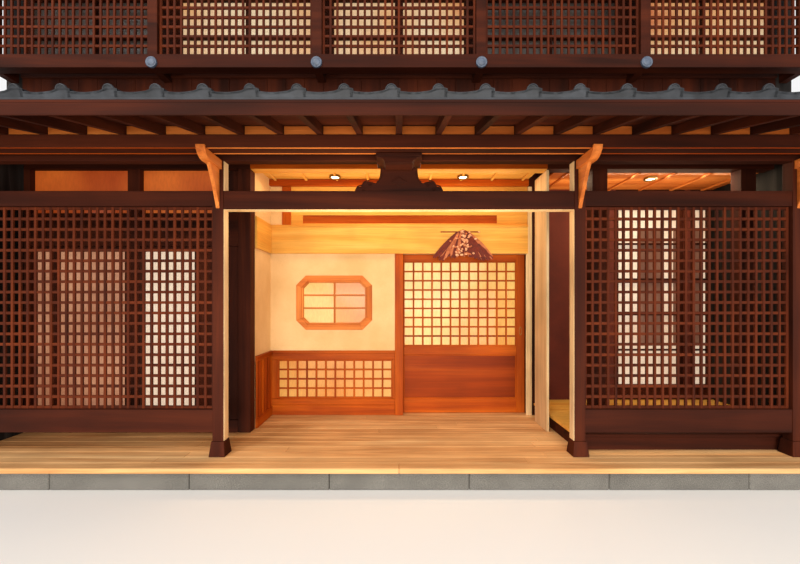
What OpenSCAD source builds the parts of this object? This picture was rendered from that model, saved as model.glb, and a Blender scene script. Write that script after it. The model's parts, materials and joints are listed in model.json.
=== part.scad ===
// Two-storey timber townhouse of the Kyoto kind, in a row between party walls.
// The origin is on the ground at the middle of the house, +Y runs from the street to the back
// and +Z is up. Heights named in the Customizer are above the top of the porch deck.

/* [Plan] */
// One bay, half of the entrance opening from post middle to post middle
bay = 1477.5; // [1400:0.5:1600]
// Street posts' front face to the main wall's front face
porch_depth = 570; // [480:5:700]
// Main wall's front face to the recessed entrance wall
recess_depth = 582; // [500:1:800]
// Main wall's front face to the wall behind the side platform
platform_wall_back = 727; // [700:1:900]
// Main wall's front face to the rear wall's outer face
house_depth = 6650; // [5600:10:8000]
// Party wall thickness
party_wall_t = 150; // [120:5:200]
// Front, rear and recess side wall thickness
wall_t = 120; // [100:2:150]
// Recessed entrance wall thickness
entrance_wall_t = 70; // [60:1:90]

/* [Base] */
// Deck top above the ground
deck_top = 190; // [150:5:300]
// Deck and ground floor board thickness
deck_t = 40; // [30:1:60]
// Deck's front edge, forward of the street posts
deck_reach = 236; // [180:1:300]
// Foundation's front edge, back from the deck's edge
deck_nosing = 56; // [20:1:100]
// Side platform top above the deck
platform_h = 136; // [100:2:200]
// Side platform end, past the inner face of the street post
platform_gap = 67; // [20:1:110]
// Gap between the post bases and the platform
platform_clearance = 10; // [2:1:40]

/* [Street front] */
// Street post width
post_w = 90; // [75:1:110]
// Post base height
base_h = 122; // [90:1:160]
// Post base width at its foot
base_foot_w = 134; // [115:1:150]
// Post base width at its top
base_top_w = 104; // [92:1:114]
// Underside of the entrance lintel
lintel_bottom = 2015; // [1900:1:2150]
// Lintel height
lintel_h = 151; // [120:1:180]
// Lintel thickness front to back
lintel_t = 80; // [60:1:88]
// Underside of the side lintels above that of the entrance lintel
side_lintel_step = 27; // [0:1:60]
// Underside of the rail below the side lattices
rail_bottom = 192; // [150:1:260]
// Height of the rail below the side lattices
lattice_rail_h = 187; // [120:1:220]
// Upright lattice bar width
bar_w = 21; // [18:0.5:34]
// Level lattice bar height
bar_h = 23; // [16:0.5:32]
// Lattice depth front to back
bar_t = 22; // [20:1:40]
// Middle of the right lattice's post, in bays from the entrance axis
side_post_bays = 2.205; // [1.6:0.005:2.3]
// Lattice columns left of the entrance
left_columns = 33; // [24:1:36]
// Lattice columns right of the entrance, up to the lattice's post
right_columns = 26; // [16:1:30]
// Lattice rows on the street
street_rows = 19; // [14:1:20]

/* [Eave] */
// Open height from the lintel to the outer purlin's underside and the street posts' top
transom_h = 245; // [200:1:300]
// Outer purlin's front face, forward of the street posts
purlin_reach = 267; // [230:1:320]
// Outer purlin width
purlin_w = 135; // [100:1:150]
// Eave edge, forward of the street posts
eave_reach = 940; // [900:5:1250]
// Rise of the eave for each unit back
eave_slope = 0.25; // [0.2:0.01:0.3]
// Outer purlin height at its front edge
purlin_h = 97; // [70:1:130]
// Rafter width
rafter_w = 45; // [30:1:60]
// Rafter depth, measured upright
rafter_h = 65; // [50:1:90]
// Roof board thickness, measured upright
roof_board_t = 15; // [10:1:25]
// Tile layer thickness, measured upright
tile_t = 62; // [50:1:80]
// Tile edge beyond the fascia
tile_lap = 30; // [10:1:50]
// Fascia thickness
fascia_t = 22; // [15:1:35]
// Fascia edge below the rafters
fascia_drop = 10; // [0:1:25]
// Eaves past the party walls
verge = 60; // [20:5:120]

/* [Brackets and strut] */
// Bracket arm width
arm_w = 70; // [50:1:85]
// Bracket arm depth below the purlin
arm_h = 71; // [50:1:90]
// Arm nose beyond the purlin
arm_nose = 18; // [15:1:40]
// Arm nose's rise in front of the purlin
nose_rise = 18; // [5:1:50]
// Slope of the arm's end, measured back
nose_slope = 85; // [40:1:110]
// Corbel thickness
corbel_t = 30; // [20:1:45]
// Corbel height below the arm
corbel_h = 320; // [200:1:320]
// Corbel reach at its top
corbel_reach = 159; // [100:1:200]
// Carved strut width at its foot
strut_w = 725; // [600:5:800]
// Carved strut thickness
strut_t = 74; // [50:1:80]
// Bearing block width at its top
block_w = 356; // [300:2:420]
// Bearing block neck width
neck_w = 214; // [190:2:280]
// Bearing block's front face, forward of the street posts
block_reach = 177; // [120:1:260]
// Width of the strut's body under the bearing block
body_w = 304; // [240:2:340]
// Bearing block height below the purlin
block_h = 82; // [60:1:100]

/* [Main wall] */
// Underside of the main header above that of the outer purlin
header_lift = 131; // [110:1:180]
// Main header depth
header_h = 238; // [180:1:280]
// Left window post, middle, in bays from the entrance axis
left_post_bays = 1.73; // [1.6:0.01:1.9]
// Right verandah posts, middle, in bays from the entrance axis
right_post_bays = [1.312, 2.281]; // [1.25:0.01:2.3]
// Right verandah post width
right_post_w = 145; // [110:5:160]
// Height of the band over the left windows and of the fascia boards
band_h = 318; // [250:1:360]
// Stiles of the left sliding windows, middle, in bays from the entrance axis
left_stile_bays = [1.327, 2.267]; // [1.1:0.001:2.4]
// Left window sill height
left_sill_h = 120; // [60:5:200]
// Right wall window, start and end in bays, then the next one's start
right_window_bays = [1.692, 2.23, 2.274]; // [1.6:0.001:2.4]
// Right wall window sill
right_sill = 260; // [200:5:400]
// Right wall window height
right_window_h = 2120; // [1800:5:2300]
// Rear ground windows' sill
rear_sill = 800; // [600:10:1000]

/* [Entrance recess] */
// Width of the fixed wing board, front to back
wing_w = 320; // [200:5:400]
// Wing board thickness
wing_t = 25; // [18:1:40]
// Wing board, back from the main wall's front face
wing_inset = 30; // [0:1:80]
// Centre post width
centre_post_w = 90; // [75:1:110]
// Centre post, proud of the entrance wall
centre_post_proud = 16; // [5:1:30]
// Fascia board projection
fascia_board_t = 20; // [12:1:30]
// Recess ceiling above the main header's underside
ceiling_lift = 73; // [40:1:100]
// Ceiling board thickness
ceiling_t = 18; // [12:1:30]
// Beam under the ceiling at the back, height
ceiling_beam_h = 71; // [50:1:90]
// Beam under the ceiling at the back, thickness
ceiling_beam_t = 50; // [30:1:80]
// Octagon window width
octagon_w = 844; // [700:2:1000]
// Octagon window height
octagon_h = 604; // [480:2:700]
// Octagon corner cut
octagon_cut = 107.5; // [80:0.5:140]
// Octagon frame width
octagon_frame_w = 78; // [45:1:90]
// Octagon frame, proud of the wall
octagon_proud = 14; // [4:1:30]
// Octagon window middle, left of the entrance axis
octagon_x = 722; // [680:1:760]
// Octagon window middle above the deck
octagon_z = 1252; // [1180:1:1330]
// Octagon glazing bar width
octagon_bar = 20; // [12:1:30]
// Wainscot rail top
wainscot_top = 720; // [650:1:780]
// Wainscot rail height, down to the low lattice window
wainscot_rail_h = 102; // [70:1:120]
// Low lattice window underside
low_window_bottom = 182; // [140:1:240]
// Low lattice window, side margin at the wall
low_margin_wall = 76; // [50:1:120]
// Low lattice window, side margin at the centre post
low_margin_post = 25; // [15:1:40]
// Fine entrance lattice bar width
fine_bar = 18; // [12:1:24]
// Fine entrance lattice depth
fine_bar_t = 20; // [14:1:22]
// Entrance lattices, back from the wall's face
fine_inset = 10; // [4:1:20]

/* [Sliding door] */
// Clearance round the moving door
door_gap = 5; // [5:0.5:8]
// Gap between the fixed wall and the door
door_wall_gap = 9; // [6:0.5:14]
// Running gap over the floor rail
running_gap = 0.3; // [0.2:0.1:1]
// Door thickness
door_t = 35; // [30:1:45]
// Door height above its rail
door_h = 1803; // [1780:1:1830]
// Stile width
stile_w = 96; // [80:1:120]
// Top rail height
top_rail_h = 90; // [70:1:120]
// Middle rail top above the deck
mid_rail_top = 761; // [720:1:820]
// Middle rail height
mid_rail_h = 100; // [70:1:130]
// Bottom rail height
bottom_rail_h = 160; // [120:1:200]
// Lower panel thickness
door_panel_t = 14; // [10:1:18]
// Lower panel, back from the door's face
door_panel_inset = 9; // [5:1:12]
// Door lattice, back from the door's face
door_lattice_inset = 4; // [1:0.5:5]
// Left stile's lap behind the centre post
post_lap = 88; // [60:1:88]
// Floor rail height
rail_h = 6; // [4:0.5:10]
// Floor rail width
rail_w = 10; // [8:1:16]
// Head track height
track_h = 82; // [60:1:100]
// Head track lip behind the door
track_lip = 25; // [12:1:40]
// Door top's depth in the head groove
groove_lap = 12; // [8:1:16]

/* [Upper storey] */
// Upper floor thickness
floor_t = 80; // [60:1:120]
// Upper window sill above the upper floor
upper_sill_h = 560; // [450:1:650]
// Upper window height
upper_window_h = 1180; // [1000:1:1300]
// Wall over the upper windows, up to the rafters at its front face
head_wall_h = 450; // [380:1:600]
// Upper post width
upper_post_w = 120; // [100:2:150]
// Lattice front face, forward of the main wall
lattice_reach = 255; // [220:1:320]
// Underside of the upper lattice's sill beam below the window sill
sill_beam_drop = 56; // [20:1:110]
// Sill beam height
sill_beam_h = 121; // [90:1:150]
// Sill beam depth, front to back
sill_beam_t = 100; // [70:1:120]
// Upper lattice height between its beams
upper_lattice_h = 1065; // [900:1:1150]
// Top beam height
top_beam_h = 110; // [80:1:140]
// Lattice post width
lattice_post_w = 90; // [70:1:110]
// Lattice posts' back face, forward of the beams' back face
lattice_post_back = 10; // [2:1:25]
// Upright size of the arms that carry the lattice
lattice_arm_h = 98; // [70:1:110]
// Upper lattice columns in one bay
upper_columns = 22; // [16:1:24]
// Upper lattice rows in one bay
upper_rows = 12; // [9:1:14]
// Round end cap diameter
cap_d = 99; // [80:1:115]
// End cap projection
cap_t = 26; // [15:1:40]
// End cap middle above the sill beam's underside
cap_lift = 40; // [20:1:70]

/* [Windows] */
// Window frame width
sash_w = 45; // [30:1:60]
// Window frame depth
sash_t = 36; // [25:1:50]
// Window frame set back in the wall
sash_back = 24; // [10:1:40]
// Glazing bar width
muntin_w = 20; // [12:1:30]
// Glass thickness
glass_t = 6; // [4:0.5:10]

/* [Main roof] */
// Rise of the roof for each unit back
roof_slope = 0.45; // [0.35:0.01:0.55]
// Tile edge past the front and rear walls
roof_reach = 750; // [600:5:900]
// Roof purlin width
roof_purlin_w = 120; // [90:5:150]
// Roof purlin depth
roof_purlin_h = 150; // [120:5:240]
// Ridge stack width
ridge_w = 230; // [180:5:300]
// Ridge stack height over the tiles
ridge_h = 210; // [150:5:300]
// Slit between the two slopes under the ridge stack
ridge_slit = 20; // [10:1:40]

/* [Hidden] */
// Bays on each side of the entrance axis
end_bays = 2.5;
// Rafters in each bay
rafters_per_bay = 5;
rafter_pitch = bay / rafters_per_bay;
rafter_span = floor((end_bays * bay - post_w - rafter_w) / rafter_pitch);

// Half widths
outer_x = end_bays * bay + party_wall_t / 2;
inner_x = outer_x - party_wall_t;
entry_x = bay - post_w / 2;
roof_x = outer_x + verge;

// Plan lines, front to back, with zero at the street posts' front face
wall_y = porch_depth;
wall_back_y = wall_y + wall_t;
entry_y = wall_y + recess_depth;
entry_back_y = entry_y + entrance_wall_t;
door_y = entry_back_y + door_wall_gap;
entry_lattice_y = entry_y + fine_inset;
entry_glass_y = entry_lattice_y + fine_bar_t;
platform_wall_y = wall_y + platform_wall_back;
platform_wall_back_y = platform_wall_y + wall_t;
rear_y = wall_y + house_depth;
rear_inner_y = rear_y - wall_t;
ridge_y = (wall_y + rear_y) / 2;
roof_front_y = wall_y - roof_reach;
roof_rear_y = rear_y + roof_reach;
middle_y = (roof_rear_y - eave_reach) / 2;
lattice_y = wall_y - lattice_reach;

// Door
door_left = centre_post_w / 2 - post_lap;
door_right = entry_x - door_gap;
door_foot = rail_h + running_gap;
door_top = door_foot + door_h;
track_bottom = door_top - groove_lap;

// Heights
lintel_top = lintel_bottom + lintel_h;
lattice_top = lintel_bottom + side_lintel_step;
lattice_bottom = rail_bottom + lattice_rail_h;
purlin_bottom = lintel_top + transom_h;
eave_seat = purlin_bottom + purlin_h;
band_bottom = track_bottom;
band_top = band_bottom + band_h;
header_bottom = purlin_bottom + header_lift;
header_top = header_bottom + header_h;
ceiling_z = header_bottom + ceiling_lift;
right_head = right_sill + right_window_h;
upper_floor_z = header_top + floor_t;
upper_sill = upper_floor_z + upper_sill_h;
upper_head = upper_sill + upper_window_h;
roof_seat = upper_head + head_wall_h;
sill_beam_bottom = upper_sill - sill_beam_drop;
upper_lattice_bottom = sill_beam_bottom + sill_beam_h;
upper_lattice_top = upper_lattice_bottom + upper_lattice_h;
ridge_underside = roof_seat + roof_slope * (ridge_y - wall_y);
roof_layers = rafter_h + roof_board_t;
// Middle of the post within the right lattice
side_post_x = round(side_post_bays * bay);
// Inner and outer edge of the street lattices, from the entrance axis
lattice_near = bay + post_w / 2;
lattice_far = end_bays * bay - post_w / 2;
// Lattice columns between the right lattice's post and the party wall
end_columns = floor(right_columns * (lattice_far - side_post_x - post_w / 2)
                    / (side_post_x - post_w / 2 - lattice_near));
// Lap of a bar into the piece it is let into
weld_lap = 2;

// Posts
street_post_x = [-end_bays * bay, -bay, bay, side_post_x, end_bays * bay];
left_corner_x = -entry_x - wall_t / 2;
left_post_x = -round(left_post_bays * bay);
left_stile_x = [for (b = left_stile_bays) -round(b * bay)];
right_post_x = [for (b = right_post_bays) round(b * bay)];
right_window_x = [for (b = right_window_bays) round(b * bay)];
upper_post_x = [for (i = [-1.5 : 1.5]) i * bay];
frame_post_x = [for (i = [-end_bays : end_bays]) i * bay];
bay_x = [for (i = [-2 : 2]) i * bay];

// Corners of the low lattice window
low_window_low = [low_margin_wall - entry_x, low_window_bottom];
low_window_high = [-centre_post_w / 2 - low_margin_post, wainscot_top - wainscot_rail_h];

// Surface colours
timber = [0.27, 0.12, 0.07];
deck_wood = [0.72, 0.55, 0.38];
door_wood = [0.62, 0.33, 0.14];
pale_wood = [0.85, 0.60, 0.36];
plaster = [0.93, 0.85, 0.70];
stone = [0.45, 0.43, 0.40];
tile_grey = [0.22, 0.23, 0.25];
pane = [0.95, 0.90, 0.75, 0.5];
cap_grey = [0.60, 0.65, 0.72];

// Shared shapes

// Puts a shape drawn from the street posts' front face and the deck's top into the house's frame.
module placed() {
    translate([0, -middle_y, deck_top]) children();
}

// A box between two corners.
module block(low, high) {
    translate(low) cube(high - low);
}

// An outline drawn in Y and Z, run along X.
module along_x(x0, x1, outline) {
    translate([x0, 0, 0]) rotate([90, 0, 90]) linear_extrude(x1 - x0) polygon(outline);
}

// An upright plate: the children are drawn in X and Z and run from y0 to y1.
module along_y(y0, y1) {
    translate([0, y1, 0]) rotate([90, 0, 0]) linear_extrude(y1 - y0) children();
}

// A rectangle between two corners.
module rect(low, high) {
    translate(low) square(high - low);
}

// A flat lattice with half bars along its border.
module grid(low, high, columns, rows, bar_x, bar_z) {
    pitch_x = (high[0] - low[0]) / columns;
    pitch_z = (high[1] - low[1]) / rows;
    difference() {
        rect(low, high);
        for (i = [0 : columns - 1], j = [0 : rows - 1])
            translate([low[0] + i * pitch_x + bar_x / 2, low[1] + j * pitch_z + bar_z / 2])
                square([pitch_x - bar_x, pitch_z - bar_z]);
    }
}

// A window frame with glazing bars.
module sash(low, high, columns, rows) {
    edge = [sash_w, sash_w];
    clear = high - low - 2 * edge;
    cell = [(clear[0] - (columns - 1) * muntin_w) / columns, (clear[1] - (rows - 1) * muntin_w) / rows];
    difference() {
        rect(low, high);
        for (i = [0 : columns - 1], j = [0 : rows - 1])
            translate(low + edge + [i * (cell[0] + muntin_w), j * (cell[1] + muntin_w)])
                square(cell);
    }
}

// Height of the rafters' underside over a point of the porch.
function eave_z(y) = eave_seat + eave_slope * (y + purlin_reach);

// Height of the main rafters' underside.
function roof_z(y) = ridge_underside - roof_slope * abs(y - ridge_y);

// A sloping layer of the lower eave.
module eave_layer(x0, x1, y0, y1, lift, t) {
    along_x(x0, x1, [
        [y0, eave_z(y0) + lift], [y1, eave_z(y1) + lift],
        [y1, eave_z(y1) + lift + t], [y0, eave_z(y0) + lift + t]
    ]);
}

// A sloping layer of the main roof.
module roof_layer(x0, x1, y0, y1, lift, t) {
    along_x(x0, x1, [
        [y0, roof_z(y0) + lift], [y1, roof_z(y1) + lift],
        [y1, roof_z(y1) + lift + t], [y0, roof_z(y0) + lift + t]
    ]);
}

// Base

module plinth() {
    color(stone)
        block([-outer_x, deck_nosing - deck_reach, -deck_top], [outer_x, rear_y, -deck_t]);
}

module ground_floor() {
    color(deck_wood) translate([0, 0, -deck_t]) linear_extrude(deck_t) polygon([
        [-inner_x, wall_y], [-entry_x - wall_t, wall_y], [-entry_x - wall_t, entry_y],
        [inner_x, entry_y], [inner_x, rear_y], [-inner_x, rear_y]
    ]);
}

module porch_deck() {
    color(deck_wood) translate([0, 0, -deck_t]) linear_extrude(deck_t) polygon([
        [-outer_x, -deck_reach], [outer_x, -deck_reach], [outer_x, post_w], [inner_x, post_w],
        [inner_x, entry_y], [-entry_x - wall_t, entry_y], [-entry_x - wall_t, wall_y],
        [-inner_x, wall_y], [-inner_x, post_w], [-outer_x, post_w]
    ]);
}

// The platform is notched round the jamb post.
module side_platform() {
    end_x = entry_x + platform_gap;
    front = (post_w + base_foot_w) / 2 + platform_clearance;
    color(pale_wood) linear_extrude(platform_h) polygon([
        [end_x, front], [inner_x, front], [inner_x, platform_wall_y],
        [entry_x + wall_t, platform_wall_y], [entry_x + wall_t, entry_y], [end_x, entry_y]
    ]);
}

// Street front

// The end bases stop at the party walls.
module post_bases() {
    reach = base_foot_w / 2;
    color(timber) for (x = street_post_x) intersection() {
        translate([x, post_w / 2, 0])
            linear_extrude(base_h, scale = base_top_w / base_foot_w)
                square(base_foot_w, center = true);
        block([x - reach, post_w / 2 - reach, 0],
              [x + reach, abs(x) == end_bays * bay ? post_w : post_w / 2 + reach, base_h]);
    }
}

module front_posts() {
    color(timber) for (x = street_post_x)
        block([x - post_w / 2, 0, base_h], [x + post_w / 2, post_w, purlin_bottom]);
}

// Clear spans of the street front beside the entrance.
function lattice_spans() = [
    [-lattice_far, -lattice_near],
    [lattice_near, side_post_x - post_w / 2],
    [side_post_x + post_w / 2, lattice_far]
];

module front_rails() {
    back = (post_w - lintel_t) / 2;
    color(timber) {
        block([-entry_x, back, lintel_bottom], [entry_x, back + lintel_t, lintel_top]);
        for (s = lattice_spans()) {
            block([s[0], back, lattice_top], [s[1], back + lintel_t, lintel_top]);
            block([s[0], back, rail_bottom], [s[1], back + lintel_t, lattice_bottom]);
        }
    }
}

// Columns first to last of one span's lattice. Where it starts inside the span, its first
// upright belongs to the panel before it.
module street_lattice(span, columns, first, last) {
    pitch = (span[1] - span[0] - bar_w) / columns;
    x0 = span[0] + first * pitch;
    x1 = span[0] + last * pitch + bar_w;
    color(timber) along_y((post_w - bar_t) / 2, (post_w + bar_t) / 2) intersection() {
        grid([x0, lattice_bottom], [x1, lattice_top], last - first, street_rows, bar_w, bar_h);
        rect([first > 0 ? x0 + bar_w : x0, lattice_bottom], [x1, lattice_top]);
    }
}

// One of the four street panels.
module street_panel(name) {
    spans = lattice_spans();
    left_split = ceil(left_columns / 2);
    if (name == "left_outer") street_lattice(spans[0], left_columns, 0, left_split);
    if (name == "left_inner") street_lattice(spans[0], left_columns, left_split, left_columns);
    if (name == "right_inner") street_lattice(spans[1], right_columns, 0, right_columns);
    if (name == "right_outer") street_lattice(spans[2], end_columns, 0, end_columns);
}

// Eave

module eave_purlins() {
    purlin_back = purlin_w - purlin_reach;
    color(timber) {
        along_x(-outer_x, outer_x, [
            [-purlin_reach, purlin_bottom], [purlin_back, purlin_bottom],
            [purlin_back, eave_z(purlin_back)], [-purlin_reach, eave_z(-purlin_reach)]
        ]);
        along_x(-outer_x, outer_x, [
            [0, purlin_bottom], [post_w, purlin_bottom], [post_w, eave_z(post_w)], [0, eave_z(0)]
        ]);
    }
}

// The arm passes under the purlin. Its end slopes forward and rises in front of the purlin.
module eave_brackets() {
    nose_y = -purlin_reach - arm_nose;
    arm_bottom = purlin_bottom - arm_h;
    nose_top = purlin_bottom + nose_rise;
    color(timber) for (x = street_post_x) {
        along_x(x - arm_w / 2, x + arm_w / 2, [
            [0, arm_bottom], [0, purlin_bottom], [-purlin_reach, purlin_bottom],
            [-purlin_reach, nose_top], [nose_y, nose_top],
            for (a = [15 : 15 : 90])
                [nose_y + nose_slope * (1 - cos(a)),
                 arm_bottom + (nose_top - arm_bottom) * pow(1 - sin(a), 0.8)]
        ]);
        along_x(x - corbel_t / 2, x + corbel_t / 2, [
            [0, arm_bottom - corbel_h],
            for (t = [0.1 : 0.15 : 1])
                [-corbel_reach * t * (0.8 + 0.2 * t), arm_bottom - corbel_h * (1 - t)],
            [0, arm_bottom]
        ]);
    }
}

// Half outline of the strut's leg: two scrolls, a notch and the body.
function strut_leg() =
    let (half = strut_w / 2, body = body_w / 2, top = purlin_bottom - block_h, rise = top - lintel_top)
    concat(
        [[half, lintel_top]],
        [for (a = [0 : 15 : 90])
            [half * (0.865 + 0.135 * cos(a)), lintel_top + 0.24 * rise * sin(a)]],
        [for (a = [0 : 15 : 90])
            [half * (0.70 + 0.15 * cos(a)), lintel_top + (0.27 + 0.22 * sin(a)) * rise]],
        [[0.60 * half, lintel_top + 0.46 * rise], [0.53 * half, lintel_top + 0.40 * rise]],
        [for (a = [0 : 15 : 90])
            [0.52 * half - (0.52 * half - body) * sin(a), top - 0.56 * rise * cos(a)]]
    );

// Half outline of the flared bearing block.
function block_flare() =
    let (half = block_w / 2, neck = neck_w / 2, low = purlin_bottom - block_h)
    concat(
        [for (a = [0 : 15 : 90]) [neck + (half - neck) * (1 - cos(a)), low + 0.58 * block_h * sin(a)]],
        [[half, purlin_bottom]]
    );

// Both halves of a symmetric outline.
function mirrored(half) = concat(half, [for (i = [len(half) - 1 : -1 : 0]) [-half[i][0], half[i][1]]]);

module carved_strut() {
    back = (post_w - strut_t) / 2;
    color(timber) {
        along_y(back, back + strut_t) polygon(mirrored(strut_leg()));
        along_y(-block_reach, back + strut_t) polygon(mirrored(block_flare()));
    }
}

module eave_rafters() {
    color(timber) for (i = [-rafter_span : rafter_span])
        eave_layer(i * rafter_pitch - rafter_w / 2, i * rafter_pitch + rafter_w / 2,
                   tile_lap + fascia_t - eave_reach, wall_y, 0, rafter_h);
}

// Main wall, ground storey

module main_posts() {
    color(timber) {
        block([left_corner_x - wall_t / 2, wall_y, 0], [-entry_x, wall_back_y, header_bottom]);
        block([left_post_x - wall_t / 2, wall_y, 0], [left_post_x + wall_t / 2, wall_back_y, header_bottom]);
        block([-inner_x, wall_y, 0], [-inner_x + wall_t / 2, wall_back_y, header_bottom]);
        for (x = right_post_x)
            block([x - right_post_w / 2, wall_y, platform_h],
                  [x + right_post_w / 2, wall_back_y, header_bottom]);
        block([entry_x, entry_y, 0], [entry_x + wall_t, platform_wall_back_y, header_top]);
        for (x = upper_post_x)
            block([x - upper_post_w / 2, rear_inner_y, rear_sill],
                  [x + upper_post_w / 2, rear_y, band_bottom]);
    }
}

// Clear spans between the posts of the left wall.
function left_spans() = [
    [-inner_x + wall_t / 2, left_post_x - wall_t / 2],
    [left_post_x + wall_t / 2, left_corner_x - wall_t / 2]
];

// Windows of the wall behind the platform.
function right_spans() = [[right_window_x[0], right_window_x[1]], [right_window_x[2], inner_x]];

module ground_wall_beams() {
    color(timber) {
        block([-inner_x, wall_y, header_bottom], [inner_x, wall_back_y, header_top]);
        for (s = left_spans()) {
            block([s[0], wall_y, 0], [s[1], wall_back_y, left_sill_h]);
            block([s[0], wall_y, band_bottom], [s[1], wall_back_y, band_top]);
        }
        for (s = right_spans()) {
            block([s[0], platform_wall_y, 0], [s[1], platform_wall_back_y, right_sill]);
            block([s[0], platform_wall_y, right_head], [s[1], platform_wall_back_y, header_top]);
        }
    }
}

module right_back_wall() {
    color([0.35, 0.08, 0.05]) {
        block([entry_x + wall_t, platform_wall_y, 0],
              [right_window_x[0], platform_wall_back_y, header_top]);
        block([right_window_x[1], platform_wall_y, 0],
              [right_window_x[2], platform_wall_back_y, header_top]);
    }
}

// Clear spans between the posts of the upper and rear walls.
function wall_spans() = [for (i = [0 : 4])
    [i == 0 ? -inner_x : upper_post_x[i - 1] + upper_post_w / 2,
     i == 4 ? inner_x : upper_post_x[i] - upper_post_w / 2]];

module ground_window_frames() {
    front = wall_y + sash_back;
    color(timber) {
        along_y(front, front + sash_t) {
            for (s = left_spans()) difference() {
                rect([s[0], left_sill_h], [s[1], band_bottom]);
                rect([s[0], left_sill_h + sash_w], [s[1] - sash_w, band_bottom - sash_w]);
            }
            rect([left_stile_x[1] - sash_w / 2, left_sill_h], [left_stile_x[1] + sash_w / 2, band_bottom]);
            rect([left_stile_x[0] - sash_w / 2, left_sill_h], [left_spans()[1][1], band_bottom]);
        }
        for (s = right_spans())
            along_y(platform_wall_y + sash_back, platform_wall_y + sash_back + sash_t)
                sash([s[0], right_sill], [s[1], right_head], 1, 5);
        for (s = wall_spans())
            along_y(rear_y - sash_back - sash_t, rear_y - sash_back)
                sash([s[0], rear_sill], [s[1], band_bottom], 2, 3);
    }
}

// Outline of the octagon window, drawn in by a margin.
module octagon(margin) {
    w = octagon_w / 2 - margin;
    h = octagon_h / 2 - margin;
    cut = octagon_cut - margin * (2 - sqrt(2));
    translate([-octagon_x, octagon_z]) polygon([
        [w - cut, -h], [w, cut - h], [w, h - cut], [w - cut, h],
        [cut - w, h], [-w, h - cut], [-w, cut - h], [cut - w, -h]
    ]);
}

module ground_window_glass() {
    front = wall_y + sash_back + sash_t;
    back = rear_y - sash_back - sash_t;
    color(pane) {
        for (s = left_spans()) {
            block([s[0], front, left_sill_h], [s[1], front + glass_t, band_bottom]);
            block([s[0], front, band_top], [s[1], front + glass_t, header_bottom]);
        }
        for (s = right_spans())
            block([s[0], platform_wall_y + sash_back + sash_t, right_sill],
                  [s[1], platform_wall_y + sash_back + sash_t + glass_t, right_head]);
        for (s = wall_spans())
            block([s[0], back - glass_t, rear_sill], [s[1], back, band_bottom]);
        along_y(entry_glass_y, entry_glass_y + glass_t) octagon(octagon_frame_w);
        block([low_window_low[0], entry_glass_y, low_window_low[1]],
              [low_window_high[0], entry_glass_y + glass_t, low_window_high[1]]);
    }
}

// Entrance recess

module wing_board() {
    color(pale_wood)
        block([entry_x, wall_y + wing_inset, 0],
              [entry_x + wing_t, wall_y + wing_inset + wing_w, header_bottom]);
}

module recess_left_wall() {
    color(plaster)
        block([-entry_x - wall_t, wall_back_y, 0], [-entry_x, entry_back_y, header_top]);
}

module window_wall() {
    color(plaster) along_y(entry_y, entry_back_y) difference() {
        rect([-entry_x, wainscot_top], [-centre_post_w / 2, band_bottom]);
        octagon(0);
    }
}

module octagon_frame() {
    color(door_wood) {
        along_y(entry_y - octagon_proud, entry_back_y) difference() {
            octagon(0);
            octagon(octagon_frame_w);
        }
        along_y(entry_lattice_y, entry_lattice_y + fine_bar_t) intersection() {
            octagon(octagon_frame_w - weld_lap);
            translate([-octagon_x, octagon_z]) {
                rect([-octagon_bar / 2, -octagon_h / 2], [octagon_bar / 2, octagon_h / 2]);
                for (z = [-0.10, 0.14])
                    rect([-octagon_w / 2, z * octagon_h - octagon_bar / 2],
                         [octagon_w / 2, z * octagon_h + octagon_bar / 2]);
            }
        }
    }
}

module low_window_frame() {
    color(door_wood) along_y(entry_y, entry_back_y) difference() {
        rect([-entry_x, 0], [-centre_post_w / 2, wainscot_top]);
        rect(low_window_low, low_window_high);
    }
}

module low_lattice() {
    color(door_wood) along_y(entry_lattice_y, entry_lattice_y + fine_bar_t)
        grid(low_window_low, low_window_high, 12, 4, fine_bar, fine_bar);
}

module centre_post() {
    color(door_wood)
        block([-centre_post_w / 2, entry_y - centre_post_proud, 0],
              [centre_post_w / 2, entry_back_y, band_bottom]);
}

module entrance_upper_wall() {
    color(plaster)
        block([-entry_x, entry_y, band_bottom], [entry_x, entry_back_y, header_top]);
}

module fascia_boards() {
    front = entry_y - fascia_board_t;
    color(pale_wood) {
        block([-entry_x, front, band_bottom], [entry_x, entry_y, band_top]);
        block([-entry_x, wall_back_y, band_bottom],
              [fascia_board_t - entry_x, front - running_gap, band_top]);
    }
}

module recess_ceiling() {
    beam_front = entry_y - ceiling_beam_t;
    color(pale_wood) {
        block([-entry_x, wall_back_y, ceiling_z], [entry_x, entry_y, ceiling_z + ceiling_t]);
        block([-entry_x, beam_front, ceiling_z - ceiling_beam_h], [entry_x, entry_y, ceiling_z]);
    }
}

// Sliding door

module door_tracks() {
    rail_y = door_y + (door_t - rail_w) / 2;
    color(door_wood) {
        block([-entry_x, rail_y, 0], [entry_x, rail_y + rail_w, rail_h]);
        difference() {
            block([-entry_x, entry_back_y, track_bottom],
                  [entry_x, door_y + door_t + door_gap + track_lip, track_bottom + track_h]);
            block([-entry_x - 1, door_y - door_gap, track_bottom - 1],
                  [entry_x + 1, door_y + door_t + door_gap, door_top + door_gap]);
        }
    }
}

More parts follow.
